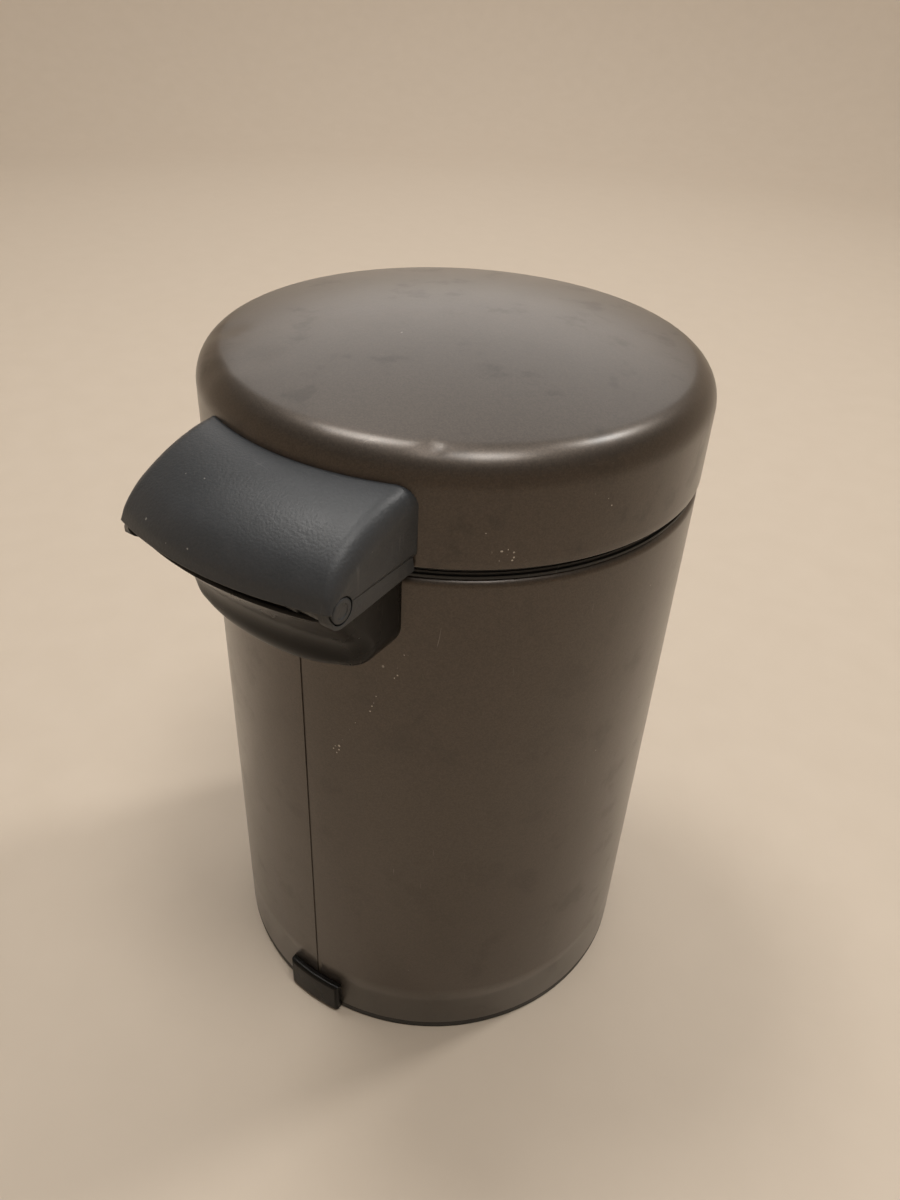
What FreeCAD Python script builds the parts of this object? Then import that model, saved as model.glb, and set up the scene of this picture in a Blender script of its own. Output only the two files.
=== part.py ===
import FreeCAD, Part
import math
import os

from FreeCAD import Vector

# Pedal trash can: a round steel bin with a rear hinge unit, a domed lid, a removable bucket and a
# pedal that raises the lid through a rod. Millimetres. The origin is on the floor, on the axis of
# the round body. +Z is up, +Y points to the hinge at the rear, so the pedal is at -Y.

# ---------------------------------------------------------------- driving dimensions
BODY_R = 82.5               # outside radius of the steel body
SHEET = 0.7                 # thickness of the steel sheet
BODY_Z0, BODY_Z1 = 3.8, 218.0
RIM_ROLL = 2.4              # radius of the rolled rim
LID_R = 82.8
LID_Z0, LID_Z1 = 221.8, 264.4
LID_SHOULDER_R = 11.0
LID_DOME_R = 340.0
LID_RANGE = 78.0            # degrees that the lid opens

HINGE_Y, HINGE_Z = 105.4, 225.6
PIN_R = 2.0
RUNNING = 0.05              # radial clearance of a turning fit
CRANK_R = 12.0              # hinge axis to crank pin
CRANK_PIN_R = 1.5

PIVOT_Y, PIVOT_Z = -10.0, 14.5
REAR_ARM = 86.5             # pedal pivot to the rod's foot
FRONT_ARM = 105.0           # pedal pivot to the pedal's tip
AXLE_R = 2.5

COVER_HALF = 37.3           # half width of the moving hinge cover
COVER_WALL = 2.0
LIP_R = 116.1               # the cover's outer lip, measured from the body's axis
PARTING_Z = 226.5           # the cover is above this height, the arm below it
HOUSING_HALF = 33.5         # half width of the fixed housing under the cover
HOUSING_WALL = 2.2
SIDE_GAP = 0.3              # between the housing's sides and the arm's cheeks
EYE_R = 5.1
CAP_R, CAP_RECESS_R = 3.9, 4.3

ROD_R = 1.5
BUCKET_R0, BUCKET_R1 = 66.0, 71.6
BUCKET_Z0, BUCKET_Z1 = 29.0, 218.5
BUCKET_WALL = 1.3
BAIL_R, BAIL_WIRE_R, BAIL_Z = 75.2, 1.2, 221.0

# ---------------------------------------------------------------- worked out from them
CRANK_DROP = math.radians(LID_RANGE / 2)
CRANK_Y = HINGE_Y - CRANK_R * math.cos(CRANK_DROP)
CRANK_Z = HINGE_Z - CRANK_R * math.sin(CRANK_DROP)
STROKE = 2 * CRANK_R * math.sin(CRANK_DROP)
PEDAL_TILT = math.degrees(math.asin(STROKE / 2 / REAR_ARM))
ROD_Y = PIVOT_Y + REAR_ARM * (1 + math.cos(math.radians(PEDAL_TILT))) / 2
HEAD_Y = HINGE_Y - CRANK_R * (1 + math.cos(CRANK_DROP)) / 2
FOOT_Z = PIVOT_Z - STROKE / 2
CHEEK_IN = HOUSING_HALF + SIDE_GAP
RECESS_X = COVER_HALF - COVER_WALL     # inner end of the pin caps' recesses
ARM_R = LID_R + 0.1             # the arm and the cover lie on the lid's skirt
FAR = 200.0                     # longer than the object, for cutting tools


# ---------------------------------------------------------------- shape helpers
def wire(steps, place):
    """A closed wire. A step is a corner (a, b), or ((a, b), (a, b)) for an arc: a point on it, then its end."""
    edges = []
    start = at = place(*steps[0])
    for step in steps[1:]:
        if isinstance(step[0], tuple):
            through, to = place(*step[0]), place(*step[1])
            edges.append(Part.Arc(at, through, to).toShape())
        else:
            to = place(*step)
            edges.append(Part.LineSegment(at, to).toShape())
        at = to
    if at.distanceToPoint(start) > 1e-6:
        edges.append(Part.LineSegment(at, start).toShape())
    return Part.Wire(edges)


def revolved(steps):
    """A ring about the body's axis from an outline in (radius, height)."""
    face = Part.Face(wire(steps, lambda r, z: Vector(r, 0, z)))
    return face.revolve(Vector(0, 0, 0), Vector(0, 0, 1), 360)


def along_x(steps, x0, x1):
    """An outline in (y, z), extruded from x0 to x1."""
    face = Part.Face(wire(steps, lambda y, z: Vector(x0, y, z)))
    return face.extrude(Vector(x1 - x0, 0, 0))


def along_y(steps, y0, y1):
    """An outline in (x, z), extruded from y0 to y1."""
    face = Part.Face(wire(steps, lambda x, z: Vector(x, y0, z)))
    return face.extrude(Vector(0, y1 - y0, 0))


def along_z(steps, z0, z1):
    """An outline in (x, y), extruded from z0 to z1."""
    face = Part.Face(wire(steps, lambda x, y: Vector(x, y, z0)))
    return face.extrude(Vector(0, 0, z1 - z0))


def block(x0, x1, y0, y1, z0, z1):
    return Part.makeBox(x1 - x0, y1 - y0, z1 - z0, Vector(x0, y0, z0))


def rod_x(r, x0, x1, y, z):
    return Part.makeCylinder(r, x1 - x0, Vector(x0, y, z), Vector(1, 0, 0))


def rod_y(r, y0, y1, x, z):
    return Part.makeCylinder(r, y1 - y0, Vector(x, y0, z), Vector(0, 1, 0))


def rod_z(r, z0, z1, x=0.0, y=0.0):
    return Part.makeCylinder(r, z1 - z0, Vector(x, y, z0), Vector(0, 0, 1))


def tube_x(r_out, r_in, x0, x1, y, z):
    return rod_x(r_out, x0, x1, y, z).cut(rod_x(r_in, x0 - 1, x1 + 1, y, z))


def bar_x(p, q, half, x0, x1):
    """A flat bar in the (y, z) plane from p to q with rounded ends of radius half."""
    length = math.hypot(q[0] - p[0], q[1] - p[1])
    ny, nz = -(q[1] - p[1]) / length * half, (q[0] - p[0]) / length * half
    ty, tz = nz, -ny
    return along_x([(p[0] + ny, p[1] + nz), (q[0] + ny, q[1] + nz),
                    ((q[0] + ty, q[1] + tz), (q[0] - ny, q[1] - nz)),
                    (p[0] - ny, p[1] - nz),
                    ((p[0] - ty, p[1] - tz), (p[0] + ny, p[1] + nz))], x0, x1)


def slot_x(y, z, half_length, half_height, x0, x1):
    return bar_x((y - half_length + half_height, z), (y + half_length - half_height, z), half_height, x0, x1)


def both_sides(shape):
    """The shape and its mirror image in the plane x = 0."""
    return shape.fuse(shape.mirror(Vector(0, 0, 0), Vector(1, 0, 0)))


def joined(*shapes):
    whole = shapes[0]
    for shape in shapes[1:]:
        whole = whole.fuse(shape)
    return whole.removeSplitter()


def pedal_pose(shape):
    """Turns a shape drawn level on the pedal's pivot to its rest pose, pedal up and rod end down."""
    shape.rotate(Vector(0, PIVOT_Y, PIVOT_Z), Vector(1, 0, 0), -PEDAL_TILT)
    return shape


# ---------------------------------------------------------------- body and base
ROD_SLOT_Z = (188.4, 212.4)
ROD_SLOT_HALF = 5.0
PEDAL_SLOT_HALF, PEDAL_SLOT_TOP = 14.0, 26.0
SEAM_X, SEAM_HALF, SEAM_DEPTH = -1.0, 0.35, 0.35
HOUSING_SCREW_PLACES = [(13.0, 196.0), (24.0, 204.5)]     # (x, z), one each side
HOUSING_SCREW_R = 1.9


def rod_slot():
    """The long slot in the rear wall that the cranked rod passes and travels in."""
    z0, z1 = ROD_SLOT_Z
    return along_y([(-ROD_SLOT_HALF, z0), (ROD_SLOT_HALF, z0), (ROD_SLOT_HALF, z1 - ROD_SLOT_HALF),
                    ((0, z1), (-ROD_SLOT_HALF, z1 - ROD_SLOT_HALF))], 60, 90)


def housing_screw_holes(radius):
    holes = [rod_y(radius, 60, FAR, x, z) for x, z in HOUSING_SCREW_PLACES]
    return both_sides(joined(*holes))


def body_shell():
    inner, roll = BODY_R - SHEET, RIM_ROLL
    bend_z, bend_r = BODY_Z1 - roll, BODY_R - roll
    half = math.sqrt(0.5)
    tube = revolved([
        (inner, BODY_Z0), (BODY_R, BODY_Z0), (BODY_R, bend_z),
        ((bend_r + roll * half, bend_z + roll * half), (bend_r, BODY_Z1)),
        (78.6, BODY_Z1), (78.6, BODY_Z1 - SHEET), (bend_r, BODY_Z1 - SHEET),
        ((bend_r + (roll - SHEET) * half, bend_z + (roll - SHEET) * half), (inner, bend_z))])
    seam = block(SEAM_X - SEAM_HALF, SEAM_X + SEAM_HALF, BODY_R - SEAM_DEPTH, BODY_R + 1, BODY_Z0, bend_z)
    pedal_slot = block(-PEDAL_SLOT_HALF, PEDAL_SLOT_HALF, -FAR, -60, 0, PEDAL_SLOT_TOP)
    return tube.cut(seam).cut(pedal_slot).cut(rod_slot()).cut(housing_screw_holes(HOUSING_SCREW_R + 0.2))


def top_collar():
    """The plastic ring that lines the rim and carries the bucket; its upstand shows below the lid."""
    return revolved([(76.2, 209), (78.3, 209), (78.3, 218.05), (81.5, 218.05), (81.5, 219.1), (80.6, 219.2),
                     (80.6, 219.9), (80.0, 219.9), (80.0, 221.2), (77.6, 221.2), (77.6, 216.5),
                     (74.2, 216.5), (74.2, 214.5), (76.2, 214.5)])


SADDLE_X0, SADDLE_X1 = 15.2, 19.2


def base_ring():
    """The plastic base: a pan with a foot rim below the shell, a wall inside it, and the axle's saddles."""
    pan = revolved([(0, 0.6), (77.4, 0.6), (77.4, 1.2), (82.4, 1.2), (82.4, 3.75), (81.7, 3.75),
                    (81.7, 16), (80.3, 16), (80.3, 2.6), (77, 2.0), (0, 2.0)])
    slot = block(-PEDAL_SLOT_HALF, PEDAL_SLOT_HALF, -FAR, -60, 4.4, PEDAL_SLOT_TOP)
    saddle = along_x([(PIVOT_Y - 9, 1.5), (PIVOT_Y + 9, 1.5), (PIVOT_Y + 5, PIVOT_Z),
                      ((PIVOT_Y, PIVOT_Z + 5), (PIVOT_Y - 5, PIVOT_Z))], SADDLE_X0, SADDLE_X1)
    bore = rod_x(AXLE_R, -FAR, FAR, PIVOT_Y, PIVOT_Z)
    return joined(pan.cut(slot), both_sides(saddle)).cut(bore)


def anti_slip_ring():
    return revolved([(77.5, 0), (81.9, 0), (82.2, 0.3), (82.2, 1.2), (77.5, 1.2)])


def rear_foot_clip():
    """The glossy clip over the lower end of the seam, a curved bar with rounded corners and top edge."""
    inner, outer, half, corner = BODY_R + 0.05, BODY_R + 3.0, 12.0, 1.6
    x_in = half - corner
    y_in, y_out = math.sqrt(inner ** 2 - half ** 2), math.sqrt(outer ** 2 - x_in ** 2)
    k = corner * (1 - math.sqrt(0.5))
    plan = along_z([(-half, y_in - 3), (half, y_in - 3), (half, y_out - corner),
                    ((half - k, y_out - k), (x_in, y_out)), ((0, outer), (-x_in, y_out)),
                    ((-half + k, y_out - k), (-half, y_out - corner))], 0, 20)
    ring = revolved([(inner, 1.5), (outer + 1, 1.5), (outer + 1, 13.0), (outer, 14.0),
                     ((outer - 0.5, 15.2), (outer - 1.6, 15.6)), (inner, 15.6)])
    return ring.common(plan)


def pedal_axle():
    return rod_x(AXLE_R, -21.4, 21.4, PIVOT_Y, PIVOT_Z)


def axle_cap(side):
    """A domed push-on cap on one end of the pedal's axle."""
    cap = rod_x(5.0, SADDLE_X1, 22.4, PIVOT_Y, PIVOT_Z).cut(rod_x(AXLE_R, 0, 21.4, PIVOT_Y, PIVOT_Z))
    rim = [e for e in cap.Edges if abs(e.CenterOfMass.x - 22.4) < 0.01]
    cap = cap.makeFillet(1.0, rim)
    return cap if side > 0 else cap.mirror(Vector(0, 0, 0), Vector(1, 0, 0))


def rod_guide(z):
    """A clip on the inside of the rear wall that keeps the rod upright."""
    foot = block(-9, 9, 78.5, FAR, z - 6, z + 6)
    loop = along_z([(-4, 80), (-4, ROD_Y), ((0, ROD_Y - 4), (4, ROD_Y)), (4, 80)], z - 6, z + 6)
    clip = joined(foot, loop).common(rod_z(BODY_R - SHEET - 0.05, 0, FAR))
    return clip.cut(rod_z(ROD_R + 0.09, 0, FAR, 0, ROD_Y))


# ---------------------------------------------------------------- hinge unit, fixed half
HOUSING_Z0, HOUSING_Z1 = 188.0, 221.0
HOUSING_BOW = 4.7                   # how much higher the bottom is at the sides
CHIN_R, CORNER_R = 9.5, 7.0
WAIST_R = 97.4                      # front face just above the chin, from the body's axis
FLARE_R, FLARE_LEAN = 16.0, 40.0    # the face then bends outwards to this lean, in degrees
LUG_X0, LUG_X1 = 22.0, 26.0
LUG_R = 5.0
SLEEVE_R = 4.4                      # sleeves round the pin, beside the lugs


def housing_solid(inset):
    """The housing's scoop form, or the same form drawn in by inset to hollow it, reaching into the body."""
    low, top, r_back = HOUSING_Z0 + inset, HOUSING_Z1 + 3, BODY_R - 3
    chin_at, flare_at, mid_z = WAIST_R - CHIN_R, WAIST_R + FLARE_R, HOUSING_Z0 + CHIN_R
    chin, flare, lean = CHIN_R - inset, FLARE_R + inset, math.radians(FLARE_LEAN)
    half_root, k = math.sqrt(0.5), 1 - math.sqrt(0.5)

    def on_flare(angle):
        return (flare_at - flare * math.cos(angle), mid_z + flare * math.sin(angle))

    bend_r, bend_z = on_flare(lean)
    scoop = revolved([(r_back, low), (chin_at, low),
                      ((chin_at + half_root * chin, mid_z - half_root * chin), (chin_at + chin, mid_z)),
                      (on_flare(lean / 2), (bend_r, bend_z)), (bend_r + (top - bend_z) * math.tan(lean), top),
                      (r_back, top)])
    half, corner, side = HOUSING_HALF - inset, CORNER_R - inset, HOUSING_Z0 + HOUSING_BOW + inset
    shield = along_y([(-half, 230), (-half, side + corner), ((-half + k * corner, side + k * corner),
                      (-half + corner, side)), ((0, low), (half - corner, side)),
                      ((half - k * corner, side + k * corner), (half, side + corner)), (half, 230)], 60, FAR)
    return scoop.common(shield)


def hinge_lug():
    """One of the two lugs that carry the hinge pin, with its web down to the housing's floor."""
    web = along_x([(74, 190), (92, 190), (98, 205), (100, 212), (104.6, HINGE_Z - LUG_R + 0.1), (100.6, HINGE_Z - 1),
                   (97.5, HOUSING_Z1), (74, HOUSING_Z1)], LUG_X0, LUG_X1)
    lug = web.common(housing_solid(1.0)).fuse(rod_x(LUG_R, LUG_X0, LUG_X1, HINGE_Y, HINGE_Z))
    return lug.fuse(rod_x(SLEEVE_R, LUG_X1, HOUSING_HALF, HINGE_Y, HINGE_Z))


def hinge_housing():
    """The fixed half of the hinge unit: a scoop on the body's rear that hides the crank and the rod."""
    body = rod_z(BODY_R + 0.05, 0, 300)
    outer = housing_solid(0).common(block(-FAR, FAR, 0, FAR, 0, HOUSING_Z1))
    shell = outer.cut(housing_solid(HOUSING_WALL)).cut(body)
    bosses = joined(*[rod_y(3.8, 60, FAR, x, z) for x, z in HOUSING_SCREW_PLACES])
    bosses = bosses.common(housing_solid(1.0))
    sleeve = rod_x(SLEEVE_R, -LUG_X0, -CRANK_X1 - 0.4, HINGE_Y, HINGE_Z)
    whole = joined(shell, both_sides(hinge_lug().cut(body)), both_sides(bosses.cut(body)), sleeve)
    whole = whole.cut(rod_x(PIN_R + RUNNING, -FAR, FAR, HINGE_Y, HINGE_Z))
    return whole.cut(housing_screw_holes(1.5).common(block(-FAR, FAR, 60, 83.4, 0, 300)))


def housing_backplate():
    """The steel strip inside the body that the housing's screws pull against."""
    ring = revolved([(80.2, 185), (BODY_R - SHEET - 0.02, 185), (BODY_R - SHEET - 0.02, 208.4), (80.2, 208.4)])
    plate = ring.common(block(-30, 30, 0, FAR, 180, 210))
    return plate.cut(rod_slot()).cut(housing_screw_holes(HOUSING_SCREW_R))


def housing_screws():
    """Four pan-head screws from inside the body into the housing."""
    screws = []
    for x, z in HOUSING_SCREW_PLACES:
        head_y = math.sqrt(80.2 ** 2 - (x + 3.2) ** 2) - 0.05
        shank = rod_y(1.5, head_y - 1, 83.4, x, z)
        head = rod_y(3.2, head_y - 1.9, head_y, x, z)
        screws.append(shank.fuse(head))
    return both_sides(Part.makeCompound(screws))


def damper_barrel():
    """The soft-close damper, a sealed barrel round the pin beside the right lug."""
    barrel = tube_x(4.6, PIN_R + RUNNING, 9.5, LUG_X0, HINGE_Y, HINGE_Z)
    key = bar_x((HINGE_Y - 3, HINGE_Z - 3), (HINGE_Y - 6, HINGE_Z - 7), 1.6, 17, LUG_X0)
    return joined(barrel, key).cut(rod_x(PIN_R + RUNNING, 0, 30, HINGE_Y, HINGE_Z))


# ---------------------------------------------------------------- hinge unit, moving half
ARM_SCREW_X, ARM_SCREW_Z = 20.0, 234.0
CRANK_X0, CRANK_X1 = 4.0, 6.6
COVER_LINE = [(82.9, 246.6), (90.0, 245.7), (98.0, 243.4), (105.0, 240.1), (110.6, 236.2), (114.6, 231.2)]


def cover_solid(inset):
    """The cover's outer form, or the same form drawn in by inset to hollow it."""
    points = COVER_LINE + [(LIP_R, PARTING_Z)]
    curve = Part.BSplineCurve()
    curve.interpolate([Vector(0, r, z) for r, z in points])
    if inset:
        drawn_in = []
        for k in range(21):
            u = curve.FirstParameter + (curve.LastParameter - curve.FirstParameter) * k / 20
            at, tangent = curve.value(u), curve.tangent(u)[0]
            drawn_in.append(at + Vector(0, tangent.z, -tangent.y) * inset)
        curve = Part.BSplineCurve()
        curve.interpolate(drawn_in)
    first, last = curve.StartPoint, curve.EndPoint
    back_r = ARM_R - (4 if inset else 0)
    low_z = PARTING_Z - (4 if inset else 0)
    corners = [last, Vector(0, last.y, low_z), Vector(0, back_r, low_z), Vector(0, back_r, first.z), first]
    edges = [curve.toShape()]
    for a, b in zip(corners, corners[1:]):
        if a.distanceToPoint(b) > 1e-6:
            edges.append(Part.LineSegment(a, b).toShape())
    face = Part.Face(Part.Wire(edges))
    face.rotate(Vector(0, 0, 0), Vector(0, 0, 1), -35)
    turned = face.revolve(Vector(0, 0, 0), Vector(0, 0, 1), 70)
    half = COVER_HALF - inset
    return turned.common(block(-half, half, 0, FAR, 200, 260))


def hinge_cover():
    outer = cover_solid(0)
    crowns = [e for e in outer.Edges
              if abs(abs(e.CenterOfMass.x) - COVER_HALF) < 0.01 and e.Length > 30 and e.CenterOfMass.z > 232]
    for crown in crowns:
        rising = crown.Vertexes[0].Z < crown.Vertexes[-1].Z
        outer = outer.makeFillet(3.2 if rising else 5.2, 5.2 if rising else 3.2, [crown])
    bevel = revolved([(LIP_R - 4, PARTING_Z - 1), (LIP_R - 0.7, PARTING_Z - 1), (LIP_R - 0.7, PARTING_Z + 0.3),
                      (LIP_R - 3.4, PARTING_Z + 4.5), (LIP_R - 4, PARTING_Z + 4.5)])
    half = COVER_HALF - COVER_WALL
    shell = outer.cut(cover_solid(COVER_WALL)).cut(bevel.common(block(-half, half, 0, FAR, 200, 260)))
    recess = rod_x(CAP_RECESS_R, RECESS_X, FAR, HINGE_Y, HINGE_Z)
    return shell.cut(both_sides(recess))


def hinge_arm():
    """The moving arm: it is screwed to the lid's skirt, carries the pin in its cheeks and has the crank."""
    back = revolved([(ARM_R, 222), (85.2, 222), (85.2, 241.5), (ARM_R, 241.5)])
    back = back.common(block(-34.9, 34.9, 0, FAR, 200, 260))
    web = block(-34.0, 34.0, 70, 95, 221.7, 223.7).cut(rod_z(ARM_R, 0, 300)).cut(block(-7.4, 7.4, 88, 99, 200, 260))
    eye_top = HINGE_Y + math.sqrt(EYE_R ** 2 - (PARTING_Z - 0.1 - HINGE_Z) ** 2)
    strip = along_x([(68, 221.3), (HINGE_Y, HINGE_Z - EYE_R),
                     ((HINGE_Y + EYE_R * math.cos(0.7), HINGE_Z - EYE_R * math.sin(0.7)), (eye_top, PARTING_Z - 0.1)),
                     (68, PARTING_Z - 0.1)], CHEEK_IN, COVER_HALF)
    strip = strip.cut(rod_z(ARM_R, 0, 300))
    inner_eye = rod_x(3.2, CHEEK_IN, RECESS_X, HINGE_Y, HINGE_Z)
    cheek = joined(strip, inner_eye).cut(rod_x(CAP_RECESS_R, RECESS_X, FAR, HINGE_Y, HINGE_Z))
    hub = rod_x(4.6, CRANK_X0, CRANK_X1, HINGE_Y, HINGE_Z)
    bar = bar_x((HINGE_Y, HINGE_Z), (CRANK_Y, CRANK_Z), 3.4, CRANK_X0, CRANK_X1)
    gusset = along_x([(84.5, 221.7), (97, 221.7), (HINGE_Y, HINGE_Z - 3), (HINGE_Y, HINGE_Z + 4), (84.5, 230)],
                     CRANK_X0, CRANK_X1)
    crank = joined(hub, bar, gusset).cut(rod_x(CRANK_PIN_R, 0, FAR, CRANK_Y, CRANK_Z))
    boss = rod_y(3.6, 75, 92.5, ARM_SCREW_X, ARM_SCREW_Z).cut(rod_z(ARM_R, 0, 300))
    whole = joined(back, web, both_sides(joined(cheek, crank, boss)))
    whole = whole.cut(rod_x(PIN_R, -FAR, FAR, HINGE_Y, HINGE_Z))
    screw_holes = both_sides(rod_y(1.5, 70, 91, ARM_SCREW_X, ARM_SCREW_Z))
    return whole.cut(screw_holes)


def hinge_pin():
    return rod_x(PIN_R, -RECESS_X, RECESS_X, HINGE_Y, HINGE_Z)


def pin_cap(side):
    cap = rod_x(CAP_R, RECESS_X, COVER_HALF + 0.2, HINGE_Y, HINGE_Z)
    rim = [e for e in cap.Edges if abs(e.CenterOfMass.x - COVER_HALF - 0.2) < 0.01]
    cap = cap.makeFillet(0.5, rim)
    return cap if side > 0 else cap.mirror(Vector(0, 0, 0), Vector(1, 0, 0))


def crank_pin():
    return rod_x(CRANK_PIN_R, -CRANK_X1 - 0.6, CRANK_X1 + 0.6, CRANK_Y, CRANK_Z)


def arm_screws():
    """The two screws from inside the lid's skirt into the arm's bosses."""
    head_y = math.sqrt((LID_R - SHEET) ** 2 - (ARM_SCREW_X + 3.2) ** 2) - 0.05
    shank = rod_y(1.5, head_y - 1, 91, ARM_SCREW_X, ARM_SCREW_Z)
    head = rod_y(3.2, head_y - 1.9, head_y, ARM_SCREW_X, ARM_SCREW_Z)
    return both_sides(shank.fuse(head))


# ---------------------------------------------------------------- lid
def lid_line(inset):
    """Half of the lid's section: skirt, shoulder and shallow dome, tangent to each other."""
    skirt, shoulder, dome = LID_R - inset, LID_SHOULDER_R - inset, LID_DOME_R - inset
    dome_z = LID_Z1 - LID_DOME_R
    centre_r = LID_R - LID_SHOULDER_R
    centre_z = dome_z + math.sqrt((LID_DOME_R - LID_SHOULDER_R) ** 2 - centre_r ** 2)
    lean = math.atan2(centre_z - dome_z, centre_r)

    def on_shoulder(angle):
        return (centre_r + shoulder * math.cos(angle), centre_z + shoulder * math.sin(angle))

    def on_dome(angle):
        return (dome * math.cos(angle), dome_z + dome * math.sin(angle))

    return [(skirt, centre_z), (on_shoulder(lean / 2), on_shoulder(lean)),
            (on_dome((lean + math.pi / 2) / 2), (0, LID_Z1 - inset))]


def lid_shell():
    """The pressed steel lid, its lower edge folded in double."""
    outer, inner = lid_line(0), lid_line(SHEET)
    hem = LID_R - 2 * SHEET
    (skirt_r, skirt_z), (shoulder_mid, shoulder_end), (dome_mid, dome_end) = inner
    steps = [(hem, LID_Z0 + 0.2), (LID_R - SHEET, LID_Z0), (LID_R - 0.25, LID_Z0), (LID_R, LID_Z0 + 0.35)]
    steps += outer + [dome_end, (dome_mid, shoulder_end), (shoulder_mid, (skirt_r, skirt_z)),
                      (skirt_r, LID_Z0 + 2.6), (hem, LID_Z0 + 2.4)]
    screw_holes = both_sides(rod_y(1.7, 70, 90, ARM_SCREW_X, ARM_SCREW_Z))
    return revolved(steps).cut(screw_holes)


def lid_rim_ring():
    """The plastic bumper ring inside the lid, which closes on the collar."""
    return revolved([(78.2, 221.5), (81.3, 221.5), (81.3, 224.5), (82.0, 224.9), (82.0, 229),
                     (80.9, 229), (80.9, 223.2), (78.2, 223.2)])


# ---------------------------------------------------------------- pedal, drawn level and then tilted
BARREL_R, BUSH_R = 6.0, 4.0
BARREL_HALF = 14.8
PLATE_HALF_X, PLATE_Y0, PLATE_Y1 = 19.0, -101.5, -79.0    # the lever's flat front end, from the pivot
NECK_HALF = 11.0
FORK_X0, FORK_X1 = 4.4, 6.4


def rounded_plate(half_x, y0, y1, corner, z0, z1):
    """A plate with rounded corners, y measured from the pedal's pivot."""
    a, b, c = PIVOT_Y + y0, PIVOT_Y + y1, corner
    k = corner * (1 - math.sqrt(0.5))
    return along_z([(-half_x + c, a), (half_x - c, a), ((half_x - k, a + k), (half_x, a + c)), (half_x, b - c),
                    ((half_x - k, b - k), (half_x - c, b)), (-half_x + c, b), ((-half_x + k, b - k), (-half_x, b - c)),
                    (-half_x, a + c), ((-half_x + k, a + k), (-half_x + c, a))], PIVOT_Z + z0, PIVOT_Z + z1)


def lever_plate():
    front = rounded_plate(PLATE_HALF_X, PLATE_Y0, PLATE_Y1, 6.0, -1.0, 1.0)
    neck = block(-NECK_HALF, NECK_HALF, PIVOT_Y + PLATE_Y1 - 3, PIVOT_Y, PIVOT_Z - 1, PIVOT_Z + 1)
    return joined(front, neck)


def rivet_places():
    return [(x, PIVOT_Y - 90.0) for x in (-12.0, 12.0)]


def pedal_lever():
    """The steel lever: a flat front end, a barrel on the axle and a forked rear end."""
    barrel = rod_x(BARREL_R, -BARREL_HALF, BARREL_HALF, PIVOT_Y, PIVOT_Z)
    arm = along_z([(-NECK_HALF, PIVOT_Y), (NECK_HALF, PIVOT_Y), (FORK_X1, PIVOT_Y + 40), (FORK_X1, PIVOT_Y + 78),
                   (-FORK_X1, PIVOT_Y + 78), (-FORK_X1, PIVOT_Y + 40)], PIVOT_Z - 1, PIVOT_Z + 1)
    rib = along_x([(PIVOT_Y, PIVOT_Z - 5), (PIVOT_Y + 70, PIVOT_Z - 1), (PIVOT_Y + 70, PIVOT_Z + 1),
                   (PIVOT_Y, PIVOT_Z + 5)], FORK_X0, FORK_X1)
    fork = bar_x((PIVOT_Y + 72, PIVOT_Z), (PIVOT_Y + REAR_ARM + 0.1, PIVOT_Z), 3.0, FORK_X0, FORK_X1)
    fork = fork.cut(slot_x(PIVOT_Y + REAR_ARM, PIVOT_Z, ROD_R + 0.75, ROD_R + 0.2, 0, FAR))
    whole = joined(lever_plate(), barrel, arm, both_sides(joined(rib, fork)))
    whole = whole.cut(rod_x(BUSH_R, -FAR, FAR, PIVOT_Y, PIVOT_Z))
    for x, y in rivet_places():
        whole = whole.cut(rod_z(1.8, 0, 40, x, y))
    return pedal_pose(whole)


def pedal_pad():
    """The ribbed plastic tread that the lever's front end slides into."""
    pad = rounded_plate(26.0, -FRONT_ARM, -76.5, 9.0, -2.2, 3.2)
    rims = [e for e in pad.Edges if abs(e.CenterOfMass.z - PIVOT_Z - 3.2) < 0.01]
    pad = pad.makeFillet(1.4, rims)
    for k in range(5):
        y = PIVOT_Y - 99.0 + 4.0 * k
        pad = pad.cut(block(-20, 20, y - 0.6, y + 0.6, PIVOT_Z + 2.5, PIVOT_Z + 4))
    pad = pad.cut(lever_plate())
    for x, y in rivet_places():
        pad = pad.cut(rod_z(1.8, 0, PIVOT_Z + 2.0, x, y)).cut(rod_z(3.1, PIVOT_Z - 4, PIVOT_Z - 1.6, x, y))
    return pedal_pose(pad)


def pad_rivets():
    rivets = [rod_z(1.8, PIVOT_Z - 1.6, PIVOT_Z + 2.0, x, y).fuse(rod_z(3.0, PIVOT_Z - 2.1, PIVOT_Z - 1.6, x, y))
              for x, y in rivet_places()]
    return pedal_pose(Part.makeCompound(rivets))


def pedal_bush(side):
    """A flanged bearing bush in one end of the lever's barrel."""
    bush = rod_x(BUSH_R, 5.0, BARREL_HALF, PIVOT_Y, PIVOT_Z).fuse(rod_x(5.6, BARREL_HALF, 15.1, PIVOT_Y, PIVOT_Z))
    bush = bush.cut(rod_x(AXLE_R + RUNNING, 0, 30, PIVOT_Y, PIVOT_Z))
    return bush if side > 0 else bush.mirror(Vector(0, 0, 0), Vector(1, 0, 0))


# ---------------------------------------------------------------- push rod
ROD_BENDS = [(ROD_Y, FOOT_Z + 7), (ROD_Y, 186.5), (HEAD_Y, 208.8), (HEAD_Y, CRANK_Z - 5.0)]


def push_rod():
    """The wire rod: upright inside the body, then cranked out through the rear slot."""
    pieces = []
    for (y0, z0), (y1, z1) in zip(ROD_BENDS, ROD_BENDS[1:]):
        run = Vector(0, y1 - y0, z1 - z0)
        pieces.append(Part.makeCylinder(ROD_R, run.Length, Vector(0, y0, z0), run))
    for y, z in ROD_BENDS[1:-1]:
        pieces.append(Part.makeSphere(ROD_R, Vector(0, y, z)))
    return joined(*pieces)


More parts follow.
